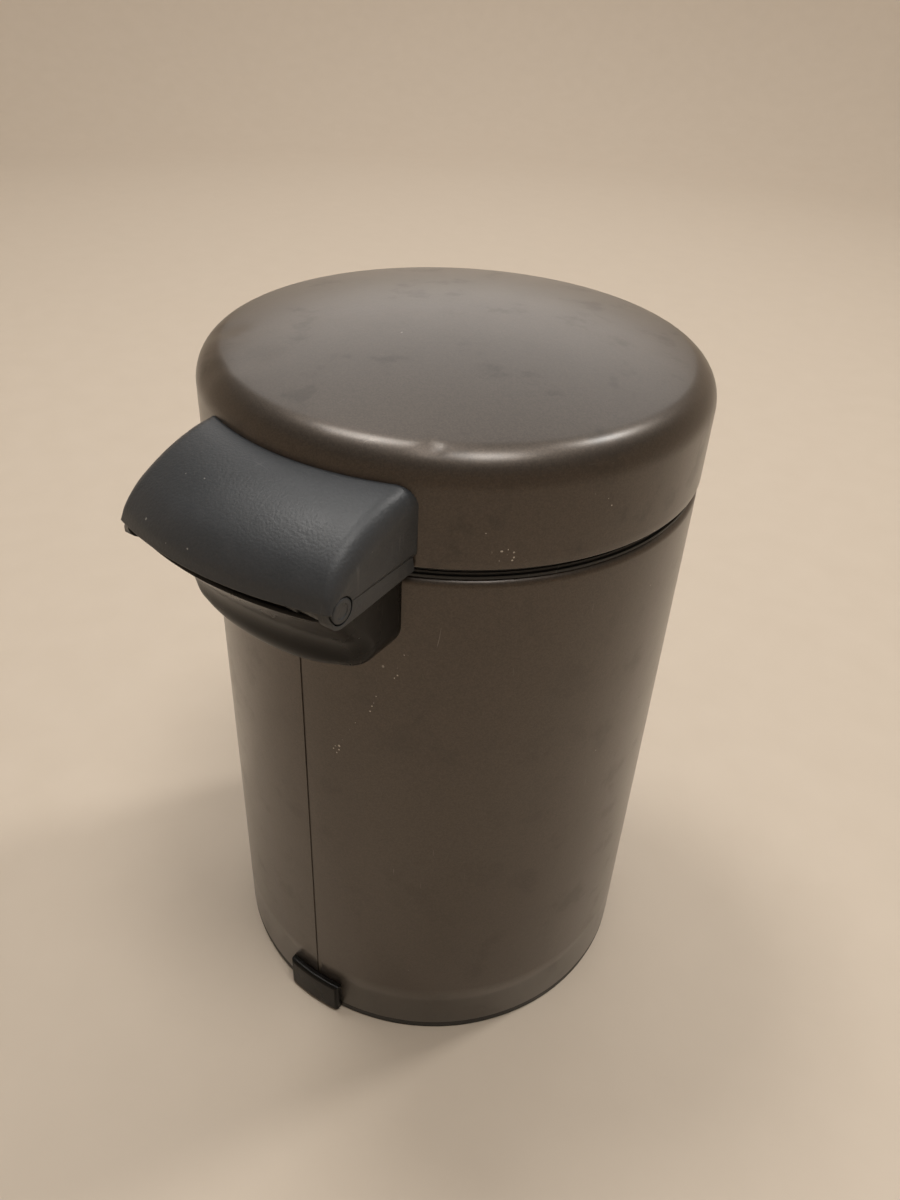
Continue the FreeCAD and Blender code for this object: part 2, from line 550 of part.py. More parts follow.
def rod_head():
    """The slotted head that the crank pin runs in."""
    plate = slot_x(HEAD_Y, CRANK_Z, 6.0, 4.4, -3.3, 3.3)
    slot = slot_x(HEAD_Y, CRANK_Z, CRANK_PIN_R + 2.1, CRANK_PIN_R + 0.5, -FAR, FAR)
    socket = rod_z(3.0, CRANK_Z - 7.6, CRANK_Z - 2.5, 0, HEAD_Y)
    bore = rod_z(ROD_R, CRANK_Z - 12, CRANK_Z - 5.0, 0, HEAD_Y)
    return joined(plate, socket).cut(slot).cut(bore)


def rod_foot():
    """The block on the rod's lower end and its cross pin, which rides in the lever's fork."""
    body = block(-3.3, 3.3, ROD_Y - 3.1, ROD_Y + 3.1, FOOT_Z - 3.0, FOOT_Z + 12)
    pin = rod_x(ROD_R, -7.6, 7.6, ROD_Y, FOOT_Z)
    return joined(body, pin).cut(rod_z(ROD_R, FOOT_Z + 7, FOOT_Z + 20, 0, ROD_Y))


# ---------------------------------------------------------------- bucket
EAR_X0, EAR_X1 = 70.4, 72.4


def inner_bucket():
    """The plastic bucket, hung by its flange on the collar, with two ears for the bail."""
    wall = BUCKET_WALL
    bucket = revolved([(0, BUCKET_Z0), (BUCKET_R0 - 3, BUCKET_Z0), (BUCKET_R0, BUCKET_Z0 + 3),
                       (BUCKET_R1, 214), (BUCKET_R1, 216.6), (77.2, 216.6), (77.2, BUCKET_Z1),
                       (BUCKET_R1 - wall, BUCKET_Z1), (BUCKET_R1 - wall, 214), (BUCKET_R0 - wall, BUCKET_Z0 + 3.5),
                       (BUCKET_R0 - 3.5, BUCKET_Z0 + wall), (0, BUCKET_Z0 + wall)])
    ear = along_x([(-6, 214), (6, 214), (4, BAIL_Z), ((0, BAIL_Z + 4), (-4, BAIL_Z))], EAR_X0, EAR_X1)
    hole = rod_x(BAIL_WIRE_R + 0.08, -FAR, FAR, 0, BAIL_Z)
    return joined(bucket, both_sides(ear)).cut(hole)


def bucket_bail():
    """The wire handle, folded down on the bucket's rim towards the front."""
    bow = Part.makeTorus(BAIL_R, BAIL_WIRE_R, Vector(0, 0, BAIL_Z), Vector(0, 0, 1), 0, 360, 180)
    bow.rotate(Vector(0, 0, 0), Vector(0, 0, 1), 180)
    end = rod_x(BAIL_WIRE_R, EAR_X0 - 1.4, BAIL_R, 0, BAIL_Z).fuse(
        Part.makeSphere(BAIL_WIRE_R, Vector(BAIL_R, 0, BAIL_Z)))
    return joined(bow, both_sides(end))


# ---------------------------------------------------------------- every piece, by name
PIECES = {
    "body_shell": body_shell,
    "top_collar": top_collar,
    "base_ring": base_ring,
    "anti_slip_ring": anti_slip_ring,
    "rear_foot_clip": rear_foot_clip,
    "pedal_axle": pedal_axle,
    "axle_cap_left": lambda: axle_cap(-1),
    "axle_cap_right": lambda: axle_cap(1),
    "rod_guide_lower": lambda: rod_guide(60.0),
    "rod_guide_upper": lambda: rod_guide(145.0),
    "hinge_housing": hinge_housing,
    "housing_backplate": housing_backplate,
    "housing_screws": housing_screws,
    "damper_barrel": damper_barrel,
    "hinge_cover": hinge_cover,
    "hinge_arm": hinge_arm,
    "hinge_pin": hinge_pin,
    "pin_cap_left": lambda: pin_cap(-1),
    "pin_cap_right": lambda: pin_cap(1),
    "crank_pin": crank_pin,
    "arm_screws": arm_screws,
    "lid_shell": lid_shell,
    "lid_rim_ring": lid_rim_ring,
    "pedal_lever": pedal_lever,
    "pedal_pad": pedal_pad,
    "pad_rivets": pad_rivets,
    "pedal_bush_left": lambda: pedal_bush(-1),
    "pedal_bush_right": lambda: pedal_bush(1),
    "push_rod": push_rod,
    "rod_head": rod_head,
    "rod_foot": rod_foot,
    "inner_bucket": inner_bucket,
    "bucket_bail": bucket_bail,
}


def main():
    os.makedirs("parts", exist_ok=True)
    print("stroke %.3f mm, pedal tilt %.3f deg, crank pin at y %.2f z %.2f" % (STROKE, PEDAL_TILT, CRANK_Y, CRANK_Z))
    print("coupling ratios per lid radian: rod %.6f m, pedal %.6f" % (
        STROKE / 1000 / math.radians(LID_RANGE), 2 * PEDAL_TILT / LID_RANGE))
    for name, make in PIECES.items():
        shape = make()
        shape.exportStep("parts/%s.step" % name)
        box = shape.BoundBox
        print("%-18s valid %s solids %d volume %9.1f  x %6.1f %6.1f  y %6.1f %6.1f  z %6.1f %6.1f" % (
            name, shape.isValid(), len(shape.Solids), shape.Volume,
            box.XMin, box.XMax, box.YMin, box.YMax, box.ZMin, box.ZMax))


main()
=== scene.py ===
import math

import bmesh
import bpy
from mathutils import Matrix, Vector


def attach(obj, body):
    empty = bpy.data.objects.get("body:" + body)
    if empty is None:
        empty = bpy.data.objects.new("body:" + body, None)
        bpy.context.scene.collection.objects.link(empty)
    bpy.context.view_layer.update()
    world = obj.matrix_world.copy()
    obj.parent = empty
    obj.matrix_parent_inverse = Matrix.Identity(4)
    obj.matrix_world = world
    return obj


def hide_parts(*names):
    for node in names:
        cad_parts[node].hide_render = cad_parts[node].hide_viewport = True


# A pedal trash can seen from behind: a taupe steel bin and lid, a boxed plastic hinge unit on its
# rear, a pedal at the front and a bucket inside. Lengths below are in millimetres until they are
# scaled by MM. +Z is up and +Y points to the hinge.

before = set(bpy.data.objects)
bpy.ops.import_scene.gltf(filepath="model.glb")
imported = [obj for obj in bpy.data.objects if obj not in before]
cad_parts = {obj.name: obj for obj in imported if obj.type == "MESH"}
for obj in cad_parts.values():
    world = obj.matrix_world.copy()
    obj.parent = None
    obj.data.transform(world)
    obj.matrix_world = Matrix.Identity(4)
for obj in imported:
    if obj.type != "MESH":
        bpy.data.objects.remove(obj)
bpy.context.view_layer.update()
scene = bpy.context.scene
MM = 0.001
TURN = 2 * math.pi

# ---------------------------------------------------------------- sizes that several pieces share
BODY_R = 82.5
RIM_Z = 218.0
RIM_ROLL = 2.4
RIM_IN = 78.6
LID_R = 82.8
LID_EDGE_Z = 221.8
LID_TOP_Z = 264.4
SHOULDER_R = 11.0
DOME_R = 340.0
SHEET = 0.7
HINGE_Y, HINGE_Z = 105.4, 225.6
COVER_HALF = 37.3
LIP_R = 116.1
PARTING_Z = 226.5
HOUSING_HALF = 33.5
CHEEK_IN = 33.8
EYE_R = 5.1
CAP_SEAT = 35.3                      # how deep the pin caps sit, measured from the middle of the bin
CAP_R, CAP_RECESS_R = 3.65, 4.0


# ---------------------------------------------------------------- mesh helpers
def arc(centre, radius, start, end, steps):
    """Points on an arc, in degrees from the first axis, both ends included."""
    points = []
    for k in range(steps + 1):
        a = math.radians(start + (end - start) * k / steps)
        points.append((centre[0] + radius * math.cos(a), centre[1] + radius * math.sin(a)))
    return points


def softened(profile, radius, steps=3):
    """A closed profile with each corner turned into a small curve."""
    points = [Vector(p) for p in profile]
    out = []
    for k, corner in enumerate(points):
        before, after = points[k - 1], points[(k + 1) % len(points)]
        reach = min(radius, (before - corner).length * 0.45, (after - corner).length * 0.45)
        if reach < 0.02 or corner.x < 0.01:
            out.append(tuple(corner))
            continue
        a = corner + (before - corner).normalized() * reach
        b = corner + (after - corner).normalized() * reach
        for j in range(steps + 1):
            t = j / steps
            out.append(tuple(a.lerp(corner, t).lerp(corner.lerp(b, t), t)))
    return out


def smooth_line(points, steps):
    """A Catmull-Rom curve through the points, with steps spans between each pair."""
    pts = [Vector(p) for p in points]
    ends = [pts[0] * 2 - pts[1]] + pts + [pts[-1] * 2 - pts[-2]]
    out = []
    for k in range(len(pts) - 1):
        p0, p1, p2, p3 = ends[k:k + 4]
        for j in range(steps):
            t = j / steps
            out.append(0.5 * (2 * p1 + (p2 - p0) * t + (2 * p0 - 5 * p1 + 4 * p2 - p3) * t * t
                              + (3 * p1 - p0 - 3 * p2 + p3) * t ** 3))
    return out + [pts[-1]]


def at_share(line, t):
    """The point at share t of a list of points, by index."""
    place = min(max(t, 0.0), 1.0) * (len(line) - 1)
    k = min(int(place), len(line) - 2)
    return line[k].lerp(line[k + 1], place - k)


def spun(profile, closed=True, steps=256):
    """A profile in (radius, height) turned about the bin's axis."""
    bm = bmesh.new()
    verts = [bm.verts.new((r * MM, 0, z * MM)) for r, z in profile]
    edges = [bm.edges.new(pair) for pair in zip(verts, verts[1:])]
    if closed:
        edges.append(bm.edges.new((verts[-1], verts[0])))
    bmesh.ops.spin(bm, geom=verts + edges, cent=(0, 0, 0), axis=(0, 0, 1), dvec=(0, 0, 0),
                   angle=TURN, steps=steps, use_merge=True, use_duplicate=False)
    bmesh.ops.remove_doubles(bm, verts=bm.verts, dist=1e-6)
    bmesh.ops.recalc_face_normals(bm, faces=bm.faces)
    return bm


def face_out(bm, outwards):
    """Turns an open surface over if the face picked by outwards looks the wrong way."""
    bm.normal_update()
    votes = sum(outwards(f.calc_center_median()).dot(f.normal) * f.calc_area() for f in bm.faces)
    if votes < 0:
        bmesh.ops.reverse_faces(bm, faces=bm.faces)


def slab(bm, outline, x0, x1):
    """An outline in (y, z) as a closed slab from x0 to x1, added to bm. Returns its faces."""
    verts = [bm.verts.new((x0 * MM, y * MM, z * MM)) for y, z in outline]
    face = bm.faces.new(verts)
    grown = bmesh.ops.extrude_face_region(bm, geom=[face], use_keep_orig=True)
    moved = [v for v in grown["geom"] if isinstance(v, bmesh.types.BMVert)]
    bmesh.ops.translate(bm, verts=moved, vec=((x1 - x0) * MM, 0, 0))
    faces = list({f for v in verts + moved for f in v.link_faces})
    bmesh.ops.recalc_face_normals(bm, faces=faces)
    return faces


def rod(bm, a, b, radius, sides=32, rounded=0.0):
    """A round bar from a to b, its end edges rounded, added to bm."""
    a, b = Vector(a) * MM, Vector(b) * MM
    along = b - a
    turn = Vector((0, 0, 1)).rotation_difference(along).to_matrix().to_4x4()
    made = bmesh.ops.create_cone(bm, cap_ends=True, cap_tris=False, segments=sides,
                                 radius1=radius * MM, radius2=radius * MM, depth=along.length,
                                 matrix=Matrix.Translation((a + b) / 2) @ turn)
    if rounded:
        rims = [e for e in {e for v in made["verts"] for e in v.link_edges}
                if e.calc_face_angle(0) > 1.0]
        bmesh.ops.bevel(bm, geom=rims, offset=rounded * MM, offset_type="OFFSET", segments=3,
                        profile=0.5, affect="EDGES", clamp_overlap=True, material=-1)


def as_object(name, bm):
    """Turns bm into an object in the scene and frees bm."""
    mesh = bpy.data.meshes.new(name)
    bm.to_mesh(mesh)
    bm.free()
    made = bpy.data.objects.new(name, mesh)
    scene.collection.objects.link(made)
    return made


def on_pin(x):
    """The point at x on the hinge pin's axis."""
    return (x, HINGE_Y, HINGE_Z)


def piece(name, bm, body, material, nodes=(), sharp=32):
    """Turns bm into an object that rides on the body and stands for the CAD nodes."""
    made = as_object(name, bm)
    mesh = made.data
    mesh.materials.append(material)
    mesh.polygons.foreach_set("use_smooth", [True] * len(mesh.polygons))
    mesh.set_sharp_from_angle(angle=math.radians(sharp))
    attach(made, body)
    if nodes:
        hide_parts(*nodes)
    return made


def wall(made, thickness):
    """Gives an open sheet its thickness, on its inner side."""
    shell = made.modifiers.new("wall", "SOLIDIFY")
    shell.thickness = thickness * MM
    shell.offset = -1
    shell.use_even_offset = True
    return shell


def merged_copy(node):
    """A bmesh of a CAD node with its loose triangles joined and its flat faces whole."""
    bm = bmesh.new()
    bm.from_mesh(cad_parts[node].data)
    bmesh.ops.remove_doubles(bm, verts=bm.verts, dist=2e-6)
    bmesh.ops.dissolve_limit(bm, angle_limit=math.radians(0.5), use_dissolve_boundaries=False,
                             verts=bm.verts, edges=bm.edges, delimit=set())
    return bm


def carried(name, node, body, material, rounding=0.0):
    """A CAD node's own shape, smooth and with its crisp edges rounded off."""
    made = piece(name, merged_copy(node), body, material, [node])
    if rounding:
        edge = made.modifiers.new("soft_edges", "BEVEL")
        edge.width = rounding * MM
        edge.segments = 2
        edge.limit_method = "ANGLE"
        edge.angle_limit = math.radians(45)
        edge.profile = 0.5
    return made


# ---------------------------------------------------------------- shader helpers
class Net:
    """A node tree with short ways to add and join nodes."""

    def __init__(self, tree):
        self.tree = tree

    def node(self, kind, **settings):
        made = self.tree.nodes.new(kind)
        for key, value in settings.items():
            setattr(made, key, value)
        return made

    def join(self, source, target):
        self.tree.links.new(source, target)

    def feed(self, socket, value):
        if isinstance(value, bpy.types.NodeSocket):
            self.join(value, socket)
        else:
            socket.default_value = value

    def math(self, operation, a, b=0.0, clamp=False):
        made = self.node("ShaderNodeMath", operation=operation, use_clamp=clamp)
        self.feed(made.inputs[0], a)
        self.feed(made.inputs[1], b)
        return made.outputs[0]

    def steps(self, value, low, high):
        """0 below low and 1 above high, or the other way round, with a smooth change between."""
        made = self.node("ShaderNodeMapRange", interpolation_type="SMOOTHSTEP")
        self.feed(made.inputs["Value"], value)
        self.feed(made.inputs["From Min"], low)
        self.feed(made.inputs["From Max"], high)
        return made.outputs["Result"]

    def scaled(self, value, low, high, to_low, to_high):
        made = self.node("ShaderNodeMapRange")
        for name, number in (("Value", value), ("From Min", low), ("From Max", high),
                             ("To Min", to_low), ("To Max", to_high)):
            self.feed(made.inputs[name], number)
        return made.outputs["Result"]

    def mix(self, share, a, b):
        made = self.node("ShaderNodeMix", data_type="RGBA")
        self.feed(made.inputs[0], share)
        self.feed(made.inputs[6], a)
        self.feed(made.inputs[7], b)
        return made.outputs[2]

    def over(self, colour, mask, share, tint):
        """The colour with a tint laid over it where the mask is, at most by share."""
        return self.mix(self.math("MULTIPLY", mask, share), colour, tint)

    def noise(self, place, scale, detail=2.0, roughness=0.5):
        made = self.node("ShaderNodeTexNoise")
        self.feed(made.inputs["Vector"], place)
        self.feed(made.inputs["Scale"], scale)
        made.inputs["Detail"].default_value = detail
        made.inputs["Roughness"].default_value = roughness
        return made.outputs["Fac"]

    def cells(self, place, scale, feature="F1"):
        made = self.node("ShaderNodeTexVoronoi", feature=feature)
        self.feed(made.inputs["Vector"], place)
        self.feed(made.inputs["Scale"], scale)
        return made

    def moved(self, place, turn=(0, 0, 0), scale=(1, 1, 1), shift=(0, 0, 0)):
        made = self.node("ShaderNodeMapping")
        self.feed(made.inputs["Vector"], place)
        made.inputs["Location"].default_value = shift
        made.inputs["Rotation"].default_value = turn
        made.inputs["Scale"].default_value = scale
        return made.outputs[0]


def effect(name, inputs, outputs, build):
    """A shader node group; build(net, inputs by name) returns its outputs by name."""
    tree = bpy.data.node_groups.new(name, "ShaderNodeTree")
    for label, kind, value in inputs:
        socket = tree.interface.new_socket(name=label, in_out="INPUT", socket_type=kind)
        if value is not None:
            socket.default_value = value
    for label, kind in outputs:
        tree.interface.new_socket(name=label, in_out="OUTPUT", socket_type=kind)
    net = Net(tree)
    entry, leave = net.node("NodeGroupInput"), net.node("NodeGroupOutput")
    results = build(net, {s.name: s for s in entry.outputs})
    for label, _ in outputs:
        net.join(results[label], leave.inputs[label])
    return tree


VECTOR, FLOAT = "NodeSocketVector", "NodeSocketFloat"


def build_flake(net, given):
    cells = net.cells(given["Place"], given["Flake Scale"])
    shade = net.node("ShaderNodeSeparateColor")
    net.join(cells.outputs["Color"], shade.inputs[0])
    tone = net.scaled(shade.outputs[0], 0.0, 1.0, -1.0, 1.0)
    peel = net.noise(given["Place"], given["Peel Scale"], 2.0, 0.4)
    height = net.math("ADD", net.math("MULTIPLY", peel, given["Peel Height"]),
                      net.math("MULTIPLY", shade.outputs[1], given["Flake Height"]))
    return {"Tone": tone, "Height": height}


flake_and_peel = effect(
    "flake_and_peel",
    [("Place", VECTOR, None), ("Flake Scale", FLOAT, 3000.0), ("Flake Height", FLOAT, 0.1),
     ("Peel Scale", FLOAT, 500.0), ("Peel Height", FLOAT, 1.0)],
    [("Tone", FLOAT), ("Height", FLOAT)], build_flake)


def build_smudge(net, given):
    broad = net.noise(given["Place"], given["Scale"], 4.0, 0.55)
    fine = net.noise(net.moved(given["Place"], shift=(3.1, 1.7, 0.4)),
                     net.math("MULTIPLY", given["Scale"], 5.0), 3.0, 0.6)
    mask = net.steps(net.math("ADD", broad, net.math("MULTIPLY", fine, 0.25)), given["From"],
                     net.math("ADD", given["From"], 0.16))
    return {"Mask": mask, "Cloud": broad}


smudges = effect("smudges", [("Place", VECTOR, None), ("Scale", FLOAT, 30.0), ("From", FLOAT, 0.6)],
                 [("Mask", FLOAT), ("Cloud", FLOAT)], build_smudge)


def build_specks(net, given):
    place = net.node("ShaderNodeVectorMath", operation="ADD")
    net.join(given["Place"], place.inputs[0])
    warp = net.node("ShaderNodeTexNoise")
    net.join(given["Place"], warp.inputs["Vector"])
    net.join(net.math("MULTIPLY", given["Scale"], 2.0), warp.inputs["Scale"])
    nudge = net.node("ShaderNodeVectorMath", operation="SCALE")
    net.join(warp.outputs["Color"], nudge.inputs[0])
    net.join(net.math("DIVIDE", 0.5, given["Scale"]), nudge.inputs["Scale"])
    net.join(nudge.outputs[0], place.inputs[1])
    cells = net.cells(place.outputs[0], given["Scale"])
    shade = net.node("ShaderNodeSeparateColor")
    net.join(cells.outputs["Color"], shade.inputs[0])
    size = net.math("MULTIPLY", given["Size"], net.scaled(shade.outputs[2], 0.0, 1.0, 0.4, 1.0))
    spot = net.steps(cells.outputs["Distance"], size, net.math("MULTIPLY", size, 0.6))
    chosen = net.math("LESS_THAN", shade.outputs[1], given["Share"])
    return {"Mask": net.math("MULTIPLY", spot, chosen)}


specks = effect("specks", [("Place", VECTOR, None), ("Scale", FLOAT, 200.0), ("Size", FLOAT, 0.12),
                           ("Share", FLOAT, 0.1)], [("Mask", FLOAT)], build_specks)


def build_scratches(net, given):
    total = None
    for turn, shift in ((0.4, 0.0), (-0.9, 3.0), (1.3, 7.0)):
        place = net.moved(given["Place"], turn=(turn, turn * 0.7, turn), scale=(1, 1, 0.06),
                          shift=(shift, 0, 0))
        line = net.math("ABSOLUTE", net.math("SUBTRACT", net.noise(place, given["Scale"], 0.0), 0.5))
        thin = net.steps(line, given["Width"], 0.0)
        where = net.steps(net.noise(net.moved(given["Place"], shift=(shift, 5, 1)), given["Patch"], 1.0),
                          given["From"], net.math("ADD", given["From"], 0.04))
        share = net.math("MULTIPLY", thin, where)
        total = share if total is None else net.math("MAXIMUM", total, share)
    return {"Mask": total}


scratches = effect(
    "scratches",
    [("Place", VECTOR, None), ("Scale", FLOAT, 150.0), ("Width", FLOAT, 0.006), ("Patch", FLOAT, 60.0),
     ("From", FLOAT, 0.62)], [("Mask", FLOAT)], build_scratches)


def build_grain(net, given):
    coarse = net.noise(given["Place"], given["Scale"], 3.0, 0.6)
    cells = net.cells(given["Place"], net.math("MULTIPLY", given["Scale"], 0.8))
    height = net.math("ADD", coarse, net.math("MULTIPLY", cells.outputs["Distance"], -0.5))
    return {"Height": net.math("MULTIPLY", height, given["Depth"]), "Tone": coarse}


moulded_grain = effect(
    "moulded_grain",
    [("Place", VECTOR, None), ("Scale", FLOAT, 1500.0), ("Depth", FLOAT, 1.0)],
    [("Height", FLOAT), ("Tone", FLOAT)], build_grain)


def build_line_of_chips(net, given):
    """Chips scattered along a straight line from Start to End."""
    def vector(operation, a, b):
        made = net.node("ShaderNodeVectorMath", operation=operation)
        net.join(a, made.inputs[0])
        net.join(b, made.inputs[1])
        return made
    run = vector("SUBTRACT", given["End"], given["Start"]).outputs[0]
    offset = vector("SUBTRACT", given["Place"], given["Start"]).outputs[0]
    dot = vector("DOT_PRODUCT", offset, run).outputs["Value"]
    length = vector("DOT_PRODUCT", run, run).outputs["Value"]
    share = net.math("DIVIDE", dot, length, clamp=True)
    nearest = net.node("ShaderNodeVectorMath", operation="SCALE")
    net.join(run, nearest.inputs[0])
    net.join(share, nearest.inputs["Scale"])
    away = net.node("ShaderNodeVectorMath", operation="DISTANCE")
    net.join(offset, away.inputs[0])
    net.join(nearest.outputs[0], away.inputs[1])
    near = net.steps(away.outputs["Value"], given["Reach"], net.math("MULTIPLY", given["Reach"], 0.5))
    chip = net.node("ShaderNodeGroup", node_tree=specks)
    net.join(given["Place"], chip.inputs["Place"])
    net.join(given["Scale"], chip.inputs["Scale"])
    chip.inputs["Size"].default_value = 0.34
    chip.inputs["Share"].default_value = 0.5
    return {"Mask": net.math("MULTIPLY", near, chip.outputs["Mask"])}


line_of_chips = effect(
    "line_of_chips",
    [("Place", VECTOR, None), ("Start", VECTOR, None), ("End", VECTOR, None), ("Reach", FLOAT, 0.0015),
     ("Scale", FLOAT, 700.0)], [("Mask", FLOAT)], build_line_of_chips)


def material(name):
    """A new material with its net, its shader and the piece's own coordinates."""
    made = bpy.data.materials.new(name)
    made.use_nodes = True
    net = Net(made.node_tree)
    shader = made.node_tree.nodes["Principled BSDF"]
    place = net.node("ShaderNodeTexCoord").outputs["Object"]
    return made, net, shader, place


def placed(net, group, place, **values):
    """An effect placed in a material, with its own values."""
    made = net.node("ShaderNodeGroup", node_tree=group)
    net.join(place, made.inputs["Place"])
    for key, value in values.items():
        net.feed(made.inputs[key.replace("_", " ")], value)
    return made


def relief(net, shader, height, depth):
    """Bumps the shader's surface; depth is in metres for a height of 1."""
    bump = net.node("ShaderNodeBump")
    bump.inputs["Strength"].default_value = 1.0
    bump.inputs["Distance"].default_value = depth
    net.feed(bump.inputs["Height"], height)
    net.join(bump.outputs[0], shader.inputs["Normal"])


def toned(colour, by):
    """The colour made lighter or darker by a factor."""
    return [min(1, c * by) for c in colour[:3]] + [1]


def taupe_paint(name, light, dark, chips, marks):
    """Metallic taupe paint with flakes, orange peel, dust, scratches and chips.

    marks is how strong its smudges are.
    """
    made, net, shader, place = material(name)
    flake = placed(net, flake_and_peel, place, Flake_Scale=2600.0, Flake_Height=0.16,
                   Peel_Scale=420.0, Peel_Height=1.0)
    smudge = placed(net, smudges, place, Scale=62.0, From=0.67)
    dust = placed(net, specks, place, Scale=230.0, Size=0.13, Share=0.03)
    scratch = placed(net, scratches, place, Scale=160.0, Width=0.005, Patch=60.0, From=0.74)
    tone = net.scaled(flake.outputs["Tone"], -1.0, 1.0, 0.25, 0.75)
    colour = net.mix(tone, dark, light)
    colour = net.over(colour, smudge.outputs["Mask"], marks, toned(dark, 0.6))
    colour = net.over(colour, scratch.outputs["Mask"], 0.35, (0.45, 0.42, 0.39, 1))
    colour = net.over(colour, dust.outputs["Mask"], 0.5, (0.5, 0.47, 0.43, 1))
    bare = dust.outputs["Mask"]
    for start, end, reach in chips:
        row = placed(net, line_of_chips, place, Start=[v * MM for v in start],
                     End=[v * MM for v in end], Reach=reach * MM)
        colour = net.over(colour, row.outputs["Mask"], 0.85, (0.62, 0.58, 0.52, 1))
        bare = net.math("MAXIMUM", bare, row.outputs["Mask"])
    net.join(colour, shader.inputs["Base Color"])
    rough = net.math("ADD", 0.37, net.math("MULTIPLY", smudge.outputs["Cloud"], 0.10))
    rough = net.math("ADD", rough, net.math("MULTIPLY", smudge.outputs["Mask"], 0.08))
    net.join(net.math("ADD", rough, net.math("MULTIPLY", bare, 0.3), clamp=True),
             shader.inputs["Roughness"])
    net.join(net.math("SUBTRACT", 0.80, net.math("MULTIPLY", bare, 0.5), clamp=True),
             shader.inputs["Metallic"])
    shader.inputs["Coat Weight"].default_value = 0.85
    shader.inputs["Coat Roughness"].default_value = 0.29
    relief(net, shader, flake.outputs["Height"], 0.00003)
    return made


def plastic(name, light, dark, low, high, grain, depth, dust=0.02, wear=0.1, gloss=0.5):
    """Moulded plastic: a fine grain, cloudy handling marks, dust and scratches.

    low and high are its roughness, grain and depth its texture, gloss how much it mirrors.
    """
    made, net, shader, place = material(name)
    texture = placed(net, moulded_grain, place, Scale=grain, Depth=1.0)
    smudge = placed(net, smudges, place, Scale=34.0, From=0.62)
    speck = placed(net, specks, place, Scale=330.0, Size=0.16, Share=dust)
    scratch = placed(net, scratches, place, Scale=130.0, Width=0.008, Patch=50.0, From=0.64)
    colour = net.mix(texture.outputs["Tone"], dark, light)
    colour = net.over(colour, smudge.outputs["Mask"], wear, toned(light, 2.2))
    colour = net.over(colour, scratch.outputs["Mask"], wear * 1.5, (0.25, 0.25, 0.25, 1))
    colour = net.over(colour, speck.outputs["Mask"], 0.6, (0.42, 0.40, 0.37, 1))
    net.join(colour, shader.inputs["Base Color"])
    rough = net.scaled(smudge.outputs["Cloud"], 0.3, 0.7, low, high)
    rough = net.math("ADD", rough, net.math("MULTIPLY", speck.outputs["Mask"], 0.3), clamp=True)
    net.join(rough, shader.inputs["Roughness"])
    shader.inputs["Specular IOR Level"].default_value = gloss
    relief(net, shader, texture.outputs["Height"], depth)
    return made


def steel(name, light, dark, low, high, stretch):
    """Bare or plated steel with drawn lines along one axis and dull patches."""
    made, net, shader, place = material(name)
    lines = net.noise(net.moved(place, scale=stretch), 900.0, 3.0, 0.6)
    smudge = placed(net, smudges, place, Scale=60.0, From=0.62)
    speck = placed(net, specks, place, Scale=400.0, Size=0.15, Share=0.03)
    colour = net.mix(lines, dark, light)
    colour = net.over(colour, smudge.outputs["Mask"], 0.3, toned(dark, 0.5))
    net.join(colour, shader.inputs["Base Color"])
    rough = net.scaled(net.math("ADD", lines, smudge.outputs["Mask"]), 0.2, 1.4, low, high)
    net.join(net.math("ADD", rough, net.math("MULTIPLY", speck.outputs["Mask"], 0.3), clamp=True),
             shader.inputs["Roughness"])
    net.join(net.math("SUBTRACT", 1.0, net.math("MULTIPLY", speck.outputs["Mask"], 0.6)),
             shader.inputs["Metallic"])
    relief(net, shader, lines, 0.000006)
    return made


TAUPE_LIGHT, TAUPE_DARK = (0.090, 0.069, 0.053, 1), (0.040, 0.030, 0.022, 1)
BODY_CHIPS = [((-36.0, 74.2, 191.4), (-31.3, 76.3, 181.0), 2.0),
              ((-28.0, 77.6, 174.0), (-12.8, 81.5, 145.6), 1.6)]
LID_CHIPS = [((-51.5, 64.8, 233.0), (-59.0, 58.0, 224.0), 3.0),
             ((-72.5, 40.0, 243.0), (-75.0, 35.2, 238.0), 2.0)]
body_paint = taupe_paint("taupe_body_paint", TAUPE_LIGHT, TAUPE_DARK, BODY_CHIPS, 0.12)
lid_paint = taupe_paint("taupe_lid_paint", TAUPE_LIGHT, TAUPE_DARK, LID_CHIPS, 0.4)
charcoal = plastic("charcoal_grained_plastic", (0.044, 0.047, 0.051, 1), (0.024, 0.027, 0.031, 1),
                   0.34, 0.46, 1300.0, 0.00006, dust=0.06, wear=0.08, gloss=0.45)
black_gloss = plastic("black_gloss_plastic", (0.009, 0.0075, 0.0062, 1), (0.005, 0.0045, 0.004, 1),
                      0.22, 0.34, 900.0, 0.000012, dust=0.02, wear=0.05, gloss=0.16)
black_satin = plastic("black_satin_plastic", (0.016, 0.016, 0.016, 1), (0.010, 0.010, 0.010, 1),
                      0.38, 0.55, 1100.0, 0.00004, dust=0.03, wear=0.15)
natural = plastic("natural_bearing_plastic", (0.62, 0.60, 0.55, 1), (0.52, 0.50, 0.45, 1),
                  0.35, 0.5, 900.0, 0.00002)
bucket_grey = plastic("bucket_grey_plastic", (0.070, 0.070, 0.073, 1), (0.050, 0.050, 0.053, 1),
                      0.32, 0.48, 700.0, 0.00003, dust=0.03, wear=0.2)
rubber = plastic("foot_rubber", (0.022, 0.022, 0.022, 1), (0.014, 0.014, 0.014, 1),
                 0.7, 0.9, 800.0, 0.00008, dust=0.08, wear=0.3)
zinc = steel("zinc_plated_steel", (0.62, 0.62, 0.63, 1), (0.42, 0.42, 0.44, 1), 0.25, 0.5, (1.0, 0.08, 1.0))
bright = steel("bright_steel", (0.75, 0.75, 0.76, 1), (0.6, 0.6, 0.61, 1), 0.12, 0.3, (0.08, 1.0, 1.0))


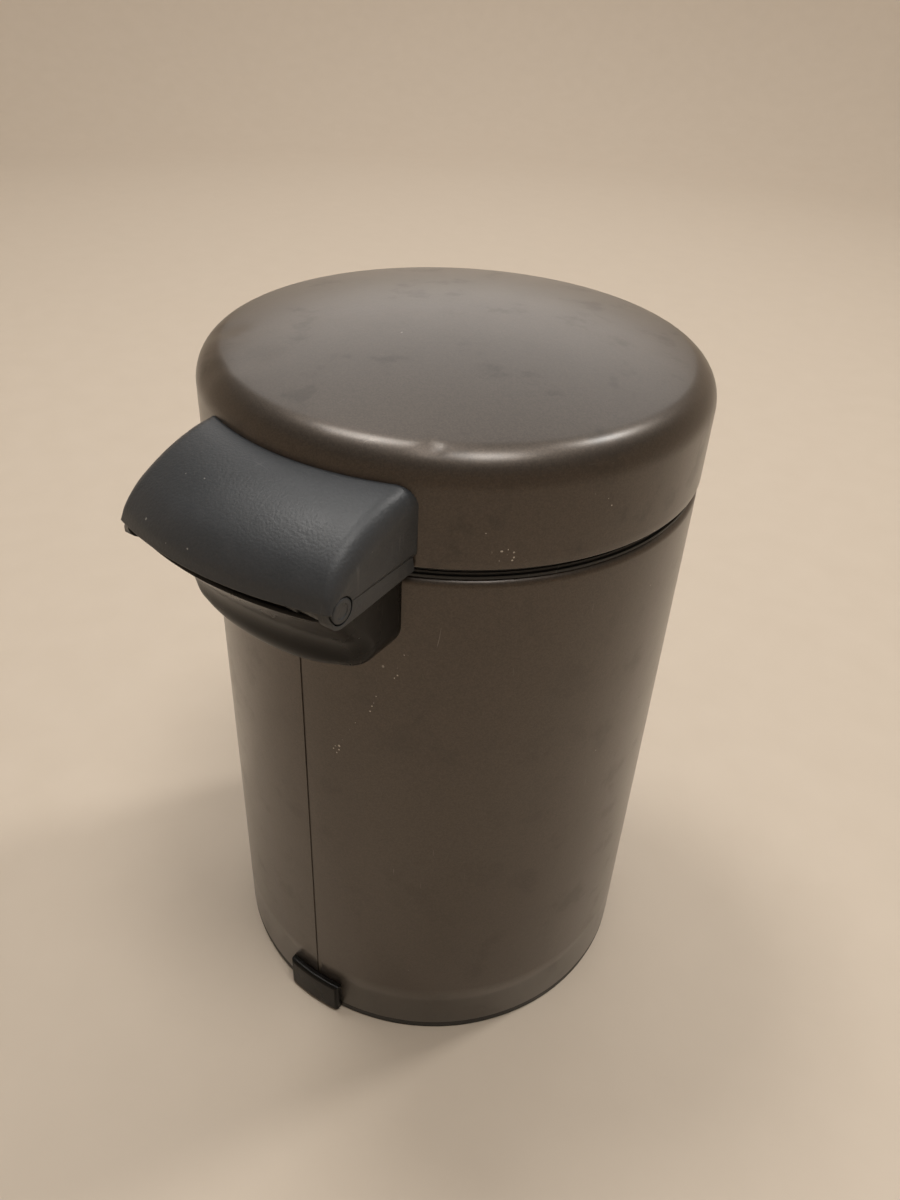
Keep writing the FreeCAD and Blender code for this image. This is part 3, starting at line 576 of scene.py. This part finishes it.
# ---------------------------------------------------------------- body
SEAM_X, SEAM_HALF, SEAM_DEPTH = -1.0, 0.35, 0.35
ROD_SLOT = (5.0, 188.4, 212.4)       # half width, lower edge, upper edge
PEDAL_SLOT = (14.0, 26.0)            # half width, upper edge


def cut_lines(bm, lines):
    """Cuts the mesh along planes, each given as (axis, place)."""
    for axis, at in lines:
        normal = Vector((axis == "x", axis == "y", axis == "z"))
        bmesh.ops.bisect_plane(bm, geom=bm.verts[:] + bm.edges[:] + bm.faces[:], dist=1e-7,
                               plane_co=normal * at * MM, plane_no=normal)


def faces_in(bm, x0, x1, z0, z1, rear):
    """The faces whose centres lie in a window of the rear or the front wall."""
    found = []
    for f in bm.faces:
        c = f.calc_center_median() / MM
        if x0 < c.x < x1 and z0 < c.z < z1 and (c.y > 0) == rear:
            found.append(f)
    return found


def make_body():
    """The body sheet with its rolled rim, its two slots and the sunk line of its seam."""
    bend = (BODY_R - RIM_ROLL, RIM_Z - RIM_ROLL)
    profile = [(BODY_R, 3.8), (BODY_R, 60), (BODY_R, 120), (BODY_R, 188)]
    profile += arc(bend, RIM_ROLL, 0, 90, 10) + [(RIM_IN, RIM_Z)]
    bm = spun(profile, closed=False, steps=360)
    half, low, high = ROD_SLOT
    slot_half, slot_top = PEDAL_SLOT
    cut_lines(bm, [("x", -half), ("x", half), ("x", -slot_half), ("x", slot_half),
                   ("z", slot_top), ("z", low), ("z", high),
                   ("x", SEAM_X - SEAM_HALF), ("x", SEAM_X + SEAM_HALF)])
    gone = faces_in(bm, -half, half, low, high, True)
    gone += faces_in(bm, -slot_half, slot_half, 0, slot_top, False)
    bmesh.ops.delete(bm, geom=gone, context="FACES")
    face_out(bm, lambda c: Vector((c.x, c.y, 0)))
    seam = faces_in(bm, SEAM_X - SEAM_HALF, SEAM_X + SEAM_HALF, 0, low, True)
    sunk = bmesh.ops.extrude_face_region(bm, geom=seam)
    verts = [v for v in sunk["geom"] if isinstance(v, bmesh.types.BMVert)]
    bmesh.ops.translate(bm, verts=verts, vec=(0, -SEAM_DEPTH * MM, 0))
    bmesh.ops.delete(bm, geom=[f for f in seam if f.is_valid], context="FACES_ONLY")
    made = piece("body_sheet", bm, "bin_body", body_paint, ["body_shell"])
    wall(made, SHEET)
    return made


make_body()

# ---------------------------------------------------------------- lid
DENTS = [  # place, reach, depth
    ((-36.5, 67.6, 255.2), 2.2, 0.30), ((-34.0, 69.5, 253.6), 1.7, 0.16),
    ((59.6, 43.7, 256.3), 6.0, 0.34), ((32.8, 58.4, 257.7), 7.0, 0.28),
    ((42.7, 66.3, 253.9), 5.0, 0.20), ((-14.0, 76.0, 254.5), 6.0, 0.08),
]
HEM_R = 0.7


def lid_profile():
    """The lid's outer line from the middle of the dome to the folded hem."""
    dome_z = LID_TOP_Z - DOME_R
    centre_r = LID_R - SHOULDER_R
    centre_z = dome_z + math.sqrt((DOME_R - SHOULDER_R) ** 2 - centre_r ** 2)
    lean = math.degrees(math.atan2(centre_z - dome_z, centre_r))
    line = arc((0, dome_z), DOME_R, 90, lean, 28)
    line += arc((centre_r, centre_z), SHOULDER_R, lean, 0, 16)[1:]
    hem_z = LID_EDGE_Z + HEM_R
    line += [(LID_R, centre_z + (hem_z - centre_z) * k / 10) for k in range(1, 10)]
    line += arc((LID_R - HEM_R, hem_z), HEM_R, 0, -180, 6) + [(LID_R - 1.4, LID_EDGE_Z + 2.5)]
    return line


def make_lid():
    """The pressed lid. Each dent has a slightly raised edge round it."""
    bm = spun(lid_profile(), closed=False, steps=288)
    face_out(bm, lambda c: Vector((0, 0, 1)) if c.z > 0.25 else Vector((c.x, c.y, 0)))
    bm.normal_update()
    for vert in bm.verts:
        push = 0.0
        for at, reach, depth in DENTS:
            share = (vert.co / MM - Vector(at)).length / reach
            if share < 3:
                push += depth * (math.exp(-share * share) - 0.12 * math.exp(-(share - 1.5) ** 2 * 3))
        if push:
            vert.co -= vert.normal * push * MM
    made = piece("lid_sheet", bm, "lid", lid_paint, ["lid_shell"])
    wall(made, SHEET)
    return made


make_lid()

# ---------------------------------------------------------------- hinge cover
COVER_LINE = [(82.9, 246.6), (90.0, 245.7), (98.0, 243.4), (105.0, 240.1), (110.6, 236.2),
              (114.6, 231.2), (LIP_R, PARTING_Z)]
COVER_WALL = 2.0
COVER_GAP = 0.1                      # between the cover and the lid's skirt
TOP_TO, CROWN_TO = 0.5, 0.8          # shares of the half width where the top and its rounding end
CROWN_TOP, CROWN_LIP = 6.0, 0.6      # rounding of the cover's side edges at the lid and at the lip


def cut_away(made, bars, crossing=False):
    """Cuts round bars, each (start, end, radius), out of a piece; crossing is for overlapping shells."""
    bm = bmesh.new()
    for start, end, radius in bars:
        rod(bm, start, end, radius, 64)
    tool = as_object("cutter", bm)
    cut = made.modifiers.new("cut", "BOOLEAN")
    cut.operation = "DIFFERENCE"
    cut.object = tool
    cut.use_self = crossing
    ready = made.evaluated_get(bpy.context.evaluated_depsgraph_get())
    made.data = bpy.data.meshes.new_from_object(ready)
    made.modifiers.clear()
    bpy.data.objects.remove(tool)


def sink_caps(made):
    """Sinks a round recess for each pin cap into the piece's two sides."""
    cut_away(made, [(on_pin(side * CAP_SEAT), on_pin(side * 45.0), CAP_RECESS_R) for side in (-1, 1)])


def make_cover():
    """The cover: its top line carried across, rounded over each side and dropped to the parting line.

    Its wall is thinner towards the lip, so that it clears the housing.
    """
    bm = bmesh.new()
    bmesh.ops.create_grid(bm, x_segments=140, y_segments=64, size=1.0)
    line = smooth_line(COVER_LINE, 16)
    for vert in bm.verts:
        s, t = abs(vert.co.x), (vert.co.y + 1) / 2
        r, z = at_share(line, t)
        ahead, behind = at_share(line, t + 0.01), at_share(line, t - 0.01)
        along = (ahead - behind).normalized()
        inward = Vector((along.y, -along.x)).lerp(Vector((-1, 0)), t ** 6).normalized()
        crown = CROWN_TOP + (CROWN_LIP - CROWN_TOP) * t ** 3
        if s < TOP_TO:
            x, depth, drop = (COVER_HALF - crown) * s / TOP_TO, 0.0, 0.0
        elif s < CROWN_TO:
            a = (s - TOP_TO) / (CROWN_TO - TOP_TO) * math.pi / 2
            x, depth, drop = COVER_HALF - crown + crown * math.sin(a), crown * (1 - math.cos(a)), 0.0
        else:
            x, depth, drop = COVER_HALF, crown, (s - CROWN_TO) / (1 - CROWN_TO)
        r, z = r + inward.x * depth, max(z + inward.y * depth, PARTING_Z)
        foot_r = LID_R + COVER_GAP + (LIP_R - CROWN_LIP - LID_R - COVER_GAP) * t
        r, z = r + (foot_r - r) * drop, z + (PARTING_Z - z) * drop
        x = math.copysign(x, vert.co.x)
        vert.co = Vector((x, math.sqrt(r * r - x * x), z)) * MM
    bmesh.ops.remove_doubles(bm, verts=bm.verts, dist=1e-6)
    bmesh.ops.recalc_face_normals(bm, faces=bm.faces)
    face_out(bm, lambda c: Vector((0, 0.3, 1)))
    made = piece("hinge_hood", bm, "lid", charcoal, ["hinge_cover"], sharp=50)
    thick = made.vertex_groups.new(name="thick")
    for vert in made.data.vertices:
        r, z = math.hypot(vert.co.x, vert.co.y) / MM, vert.co.z / MM
        share = 1.0 if z > 236 or r < 108 else max(0.3, min(1.0, (z - PARTING_Z) / 7 + 0.3))
        thick.add([vert.index], share, "REPLACE")
    shell = wall(made, COVER_WALL)
    shell.use_even_offset = False
    shell.vertex_group = "thick"
    sink_caps(made)


make_cover()

# ---------------------------------------------------------------- hinge housing
HOUSING_Z0, HOUSING_Z1, HOUSING_BOW = 188.0, 221.0, 4.7
CHIN_R, CORNER_R = 9.5, 8.5
WAIST_R, FLARE_R, FLARE_LEAN = 97.4, 16.0, math.radians(40.0)
FRONT_ROUND = 4.6
HOUSING_WALL = 2.0
CORNER_FROM, UPRIGHT_FROM = 0.48, 0.72   # shares of the half outline where its corner and side begin
FLANK_TO, FRONT_FROM = 0.3, 0.55     # shares of the way in where the flank ends and the front begins
MIDDLE_Z = 214                       # height where the front's surface closes in its middle


def face_radius(z):
    """The radius of the housing's front face at a height."""
    middle = HOUSING_Z0 + CHIN_R
    if z < middle:
        return WAIST_R - CHIN_R + math.sqrt(max(CHIN_R ** 2 - (middle - z) ** 2, 0))
    reach = FLARE_R * math.sin(FLARE_LEAN)
    up = min(z - middle, reach)
    r = WAIST_R + FLARE_R - math.sqrt(FLARE_R ** 2 - up * up)
    return r + max(z - middle - reach, 0) * math.tan(FLARE_LEAN)


def shield(p, inset):
    """(x, z) on the housing's outline seen from the rear, p from -1 at one top end to 1 at the other."""
    half, corner = HOUSING_HALF - inset, CORNER_R - inset
    side_z = HOUSING_Z0 + HOUSING_BOW + inset
    share = abs(p)
    if share > UPRIGHT_FROM:
        up = (share - UPRIGHT_FROM) / (1 - UPRIGHT_FROM)
        x, z = half, side_z + corner + (HOUSING_Z1 - side_z - corner) * up
    elif share > CORNER_FROM:
        a = (share - CORNER_FROM) / (UPRIGHT_FROM - CORNER_FROM) * math.pi / 2
        x, z = half - corner + corner * math.sin(a), side_z + corner - corner * math.cos(a)
    else:
        x = (half - corner) * share / CORNER_FROM
        z = HOUSING_Z0 + inset + HOUSING_BOW * (x / (half - corner)) ** 2
    return math.copysign(x, p), z


def make_housing():
    """The housing's skin: out along its flank, round its front edge and in to its middle."""
    bm = bmesh.new()
    bmesh.ops.create_grid(bm, x_segments=120, y_segments=44, size=1.0)
    for vert in bm.verts:
        p, q = vert.co.x, (vert.co.y + 1) / 2
        if q < FLANK_TO:
            x, z = shield(p, 0)
            back = math.sqrt((BODY_R + 0.05) ** 2 - x * x)
            front = math.sqrt(face_radius(z) ** 2 - x * x) - FRONT_ROUND
            y = back + (max(front, back + 0.5) - back) * q / FLANK_TO
        elif q < FRONT_FROM:
            a = (q - FLANK_TO) / (FRONT_FROM - FLANK_TO) * math.pi / 2
            x, z = shield(p, FRONT_ROUND * (1 - math.cos(a)))
            y = math.sqrt(face_radius(z) ** 2 - x * x) - FRONT_ROUND * (1 - math.sin(a))
        else:
            x, z = shield(p, FRONT_ROUND)
            share = (q - FRONT_FROM) / (1 - FRONT_FROM)
            core_z = MIDDLE_Z + (HOUSING_Z1 - MIDDLE_Z) * abs(p)
            x, z = x * (1 - share), z + (core_z - z) * share
            y = math.sqrt(face_radius(z) ** 2 - x * x)
        vert.co = Vector((x, y, z)) * MM
    bmesh.ops.remove_doubles(bm, verts=bm.verts, dist=1e-6)
    bmesh.ops.recalc_face_normals(bm, faces=bm.faces)
    face_out(bm, lambda c: Vector((0, 1, -0.2)))
    made = piece("hinge_scoop", bm, "bin_body", black_gloss, ["hinge_housing"],
                 sharp=60)
    wall(made, HOUSING_WALL)
    return made


make_housing()


LUG_IN, LUG_OUT, LUG_R = 22.0, 26.0, 5.0
SLEEVE_R, SLEEVE_OUT, SLEEVE_IN = 4.4, 33.3, 7.0
PIN_BORE_R = 2.1


def make_lugs():
    """The housing's two lugs, the sleeves that cover the pin beside them, and the screw bosses."""
    bm = bmesh.new()
    web = [(83.0, 196.0), (88.0, 196.0), (91.0, 202.0), (96.5, 211.5), (104.6, 220.8), (100.6, 224.6),
           (97.5, 221.0), (83.0, 219.0)]
    for side in (-1, 1):
        slab(bm, web, side * LUG_IN, side * LUG_OUT)
        rod(bm, on_pin(side * LUG_IN), on_pin(side * LUG_OUT), LUG_R, 40, 0.4)
        rod(bm, on_pin(side * LUG_OUT), on_pin(side * SLEEVE_OUT), SLEEVE_R, 40, 0.4)
        for x, z in ((13.0, 196.0), (24.0, 204.5)):
            rod(bm, (side * x, 82.6, z), (side * x, 93.0, z), 3.8, 28, 0.3)
    rod(bm, on_pin(-LUG_IN), on_pin(-SLEEVE_IN), SLEEVE_R, 40, 0.4)
    made = piece("hinge_lugs", bm, "bin_body", black_satin)
    cut_away(made, [(on_pin(-40.0), on_pin(40.0), PIN_BORE_R)], crossing=True)


make_lugs()

# ---------------------------------------------------------------- moving arm
CRANK_Y, CRANK_Z, CRANK_R = 96.07, 218.05, 3.4
HUB_R = 4.6
SKIRT_GAP, LIP_GAP = 0.15, 0.3       # what the arm keeps from the lid's skirt and from the cover's lip


def cheek_outline():
    """The cheek's side view: a strip below the parting line that ends in the pin's eye."""
    strip = [(76.0, PARTING_Z - 0.1), (75.0, 221.6)]
    eye = arc((HINGE_Y, HINGE_Z), EYE_R, -90, 8, 22)
    return strip + [(90.0, 221.0), (97.0, 220.7)] + eye + [(HINGE_Y, PARTING_Z - 0.1), (90, PARTING_Z - 0.1)]


def fit_to_lid(bm):
    """Moves what would stand inside the lid's skirt out to its surface."""
    for vert in bm.verts:
        x, y = vert.co.x / MM, vert.co.y / MM
        if math.hypot(x, y) < LID_R + SKIRT_GAP:
            vert.co.y = math.sqrt((LID_R + SKIRT_GAP) ** 2 - x * x) * MM


def trim_to_lip(bm):
    """Draws the cheeks in where they would stand out past the cover's lip."""
    for vert in bm.verts:
        x, y = vert.co.x / MM, vert.co.y / MM
        limit = LIP_R - LIP_GAP - max(0.0, abs(x) - COVER_HALF + 0.6)
        if math.hypot(x, y) > limit:
            vert.co.y = math.sqrt(limit ** 2 - x * x) * MM


def make_arm():
    """The moving arm: two cheeks, and in the middle a hub, a crank and a web on each side."""
    bm = bmesh.new()
    for side in (-1, 1):
        faces = slab(bm, cheek_outline(), side * CHEEK_IN, side * COVER_HALF)
        fit_to_lid(bm)
        rims = set()
        for f in faces:
            for e in f.edges:
                middle = (e.verts[0].co + e.verts[1].co) / 2 / MM
                outside = abs(abs(middle.x) - COVER_HALF) < 0.01 and middle.y > 84
                if outside and middle.z < PARTING_Z - 0.3 and e.calc_face_angle(0) > 1.0:
                    rims.add(e)
        bmesh.ops.bevel(bm, geom=list(rims), offset=1.1 * MM, offset_type="OFFSET", segments=4, profile=0.5,
                        affect="EDGES", clamp_overlap=True, material=-1)
        hub = [(HINGE_Y + HUB_R * math.cos(a), HINGE_Z + HUB_R * math.sin(a))
               for a in (math.radians(k * 15) for k in range(24))]
        slab(bm, hub, side * 4.0, side * 6.6)
        lean = math.atan2(CRANK_Z - HINGE_Z, CRANK_Y - HINGE_Y)
        across = (-math.sin(lean) * CRANK_R, math.cos(lean) * CRANK_R)
        tip = arc((CRANK_Y, CRANK_Z), CRANK_R, math.degrees(lean) - 90, math.degrees(lean) + 90, 14)
        crank = [(HINGE_Y + across[0], HINGE_Z + across[1]), (HINGE_Y - across[0], HINGE_Z - across[1])]
        slab(bm, crank[::-1] + tip[::-1], side * 4.05, side * 6.55)
        slab(bm, [(84.5, 221.8), (97.0, 221.8), (HINGE_Y, HINGE_Z - 3), (HINGE_Y, HINGE_Z + 4), (84.5, 230.0)],
             side * 4.1, side * 6.5)
        rod(bm, (side * 20.0, 84.0, 234.0), (side * 20.0, 92.5, 234.0), 3.6, 28, 0.3)
    trim_to_lip(bm)
    made = piece("hinge_arms", bm, "lid", charcoal, ["hinge_arm"], sharp=40)
    sink_caps(made)


make_arm()


PLATE_HALF, PLATE_FROM_Y = 34.9, 60.0


def make_arm_plate():
    """The plate that lies on the lid's skirt under the cover."""
    bm = spun(softened([(82.95, 222.0), (85.2, 222.0), (85.2, 241.5), (82.95, 241.5)], 0.3))
    cut_lines(bm, [("x", -PLATE_HALF), ("x", PLATE_HALF), ("y", PLATE_FROM_Y)])
    gone = [f for f in bm.faces if abs(f.calc_center_median().x) > PLATE_HALF * MM
            or f.calc_center_median().y < PLATE_FROM_Y * MM]
    bmesh.ops.delete(bm, geom=gone, context="FACES")
    ends = [e for e in bm.edges if e.is_boundary]
    bmesh.ops.holes_fill(bm, edges=ends, sides=0)
    bmesh.ops.recalc_face_normals(bm, faces=bm.faces)
    piece("hinge_arm_plate", bm, "lid", charcoal)


make_arm_plate()


def make_pin_caps():
    """The two caps over the pin's ends, each with a shallow sunk disc."""
    for side, word in ((-1, "left"), (1, "right")):
        bm = bmesh.new()
        rod(bm, on_pin(side * CAP_SEAT), on_pin(side * (COVER_HALF + 0.1)), CAP_R, 64, 0.5)
        outer = [f for f in bm.faces if f.normal.x * side > 0.99]
        bmesh.ops.inset_region(bm, faces=outer, thickness=0.9 * MM, depth=0.0)
        bmesh.ops.inset_region(bm, faces=outer, thickness=0.25 * MM, depth=-0.25 * MM)
        piece("pin_cap_%s_disc" % word, bm, "lid", charcoal,
              ["pin_cap_%s" % word])


make_pin_caps()

# ---------------------------------------------------------------- rings
RINGS = [
    ("collar_ring", "top_collar", "bin_body", "black_plastic", black_satin, 0.25,
     [(76.2, 209), (78.3, 209), (78.3, 218.05), (81.5, 218.05), (81.5, 219.1), (80.6, 219.2), (80.6, 219.9),
      (80.0, 219.9), (80.0, 221.2), (77.6, 221.2), (77.6, 216.5), (74.2, 216.5), (74.2, 214.5), (76.2, 214.5)]),
    ("foot_ring", "anti_slip_ring", "bin_body", "rubber", rubber, 0.3,
     [(77.5, 0), (81.9, 0), (82.2, 0.3), (82.2, 1.2), (77.5, 1.2)]),
    ("lid_bumper", "lid_rim_ring", "lid", "black_plastic", black_satin, 0.25,
     [(78.2, 221.5), (81.3, 221.5), (81.3, 224.5), (82.0, 224.9), (82.0, 229), (80.9, 229), (80.9, 223.2),
      (78.2, 223.2)]),
]
for name, node, body, slot, finish, rounding, profile in RINGS:
    piece(name, spun(softened(profile, rounding, 2)), body, finish, [node])

# ---------------------------------------------------------------- pieces that keep their CAD shape
CARRIED = [
    ("base_pan", "base_ring", "bin_body", "black_plastic", black_satin, 0.15),
    ("seam_clip", "rear_foot_clip", "bin_body", "black_gloss_plastic", black_gloss, 0.25),
    ("axle_bar", "pedal_axle", "bin_body", "zinc_steel", zinc, 0.3),
    ("axle_cap_l", "axle_cap_left", "bin_body", "black_plastic", black_satin, 0.0),
    ("axle_cap_r", "axle_cap_right", "bin_body", "black_plastic", black_satin, 0.0),
    ("guide_low", "rod_guide_lower", "bin_body", "black_plastic", black_satin, 0.2),
    ("guide_high", "rod_guide_upper", "bin_body", "black_plastic", black_satin, 0.2),
    ("screw_strip", "housing_backplate", "bin_body", "zinc_steel", zinc, 0.1),
    ("body_screws", "housing_screws", "bin_body", "bright_steel", bright, 0.2),
    ("soft_close_barrel", "damper_barrel", "bin_body", "black_plastic", black_satin, 0.2),
    ("pin_bar", "hinge_pin", "lid", "bright_steel", bright, 0.2),
    ("crank_bar", "crank_pin", "lid", "bright_steel", bright, 0.2),
    ("lid_screws", "arm_screws", "lid", "bright_steel", bright, 0.2),
    ("lever_plate", "pedal_lever", "pedal", "zinc_steel", zinc, 0.15),
    ("tread_pad", "pedal_pad", "pedal", "black_plastic", black_satin, 0.3),
    ("tread_rivets", "pad_rivets", "pedal", "bright_steel", bright, 0.1),
    ("bush_l", "pedal_bush_left", "pedal", "bearing_plastic", natural, 0.1),
    ("bush_r", "pedal_bush_right", "pedal", "bearing_plastic", natural, 0.1),
    ("lift_wire", "push_rod", "lift_rod", "zinc_steel", zinc, 0.0),
    ("lift_head", "rod_head", "lift_rod", "black_plastic", black_satin, 0.2),
    ("lift_foot", "rod_foot", "lift_rod", "black_plastic", black_satin, 0.2),
    ("bucket_wall", "inner_bucket", "bucket", "bucket_plastic", bucket_grey, 0.2),
    ("bail_wire", "bucket_bail", "bail", "bright_steel", bright, 0.0),
]
for name, node, body, slot, finish, rounding in CARRIED:
    carried(name, node, body, finish, rounding)


# ---------------------------------------------------------------- floor, lights and camera
FLAT_R, CURVE_R, WALL_Z = 1600, 600, 1400
WARM, PALE = (1.0, 0.97, 0.93), (1.0, 0.98, 0.96)


def make_floor():
    """A pale floor that curves up into a low wall all round."""
    bend = arc((FLAT_R, CURVE_R), CURVE_R, -90, 0, 16)
    bm = spun([(0, 0), (FLAT_R, 0)] + bend + [(FLAT_R + CURVE_R, WALL_Z)], closed=False, steps=96)
    for face in bm.faces:
        face.smooth = True
    floor = as_object("studio_floor", bm)
    made, net, shader, place = material("studio_floor_paint")
    tone = net.noise(place, 40.0, 3.0)
    net.join(net.mix(tone, (0.60, 0.51, 0.41, 1), (0.64, 0.55, 0.45, 1)), shader.inputs["Base Color"])
    net.join(net.scaled(tone, 0.0, 1.0, 0.55, 0.7), shader.inputs["Roughness"])
    floor.data.materials.append(made)


def soft_light(name, at, towards, size, power, colour):
    """A round area light, in metres and watts, that the camera doesn't see."""
    data = bpy.data.lights.new(name, "AREA")
    data.shape = "DISK"
    data.size = size
    data.energy = power
    data.color = colour
    lamp = bpy.data.objects.new(name, data)
    scene.collection.objects.link(lamp)
    lamp.location = at
    lamp.visible_camera = False
    lamp.rotation_euler = (Vector(towards) - Vector(at)).to_track_quat("-Z", "Y").to_euler()


def make_world():
    world = bpy.data.worlds.new("studio")
    scene.world = world
    world.use_nodes = True
    back = world.node_tree.nodes["Background"]
    back.inputs["Color"].default_value = (0.60, 0.55, 0.48, 1)
    back.inputs["Strength"].default_value = 0.30


def make_camera():
    data = bpy.data.cameras.new("camera")
    data.sensor_width = 36.0
    data.lens = 28.8
    data.clip_start = 0.01
    camera = bpy.data.objects.new("camera", data)
    scene.collection.objects.link(camera)
    ahead = Vector((0.5321, -0.8467, 0.0))
    side = Vector((-0.8467, -0.5321, 0.0))
    pitch, roll = math.radians(35.41), 0.0553
    look = ahead * math.cos(pitch) - Vector((0, 0, 1)) * math.sin(pitch)
    level_up = side.cross(look)
    right = (side + roll * level_up).normalized()
    up = right.cross(look)
    turn = Matrix((right, up, -look)).transposed()
    camera.matrix_world = Matrix.Translation((-0.1601, 0.2516, 0.3653)) @ turn.to_4x4()
    scene.camera = camera


make_floor()
make_world()
soft_light("ceiling_near", (-0.45, 0.22, 1.8), (0, 0, 0.1), 0.45, 9.0, WARM)
soft_light("ceiling_far", (0.57, 0.0, 1.8), (0, 0, 0.1), 0.45, 9.0, WARM)
soft_light("ceiling_side", (-0.6, -1.0, 1.8), (0, 0, 0.1), 0.25, 10.0, WARM)
soft_light("ceiling_wide", (0.1, 0.1, 2.1), (0, 0, 0.1), 1.7, 2.5, PALE)
soft_light("wall_glow", (0.80, -1.28, 1.35), (0, 0, 0.2), 2.0, 9.0, PALE)
make_camera()

scene.view_settings.view_transform = "Standard"
bpy.context.view_layer.update()
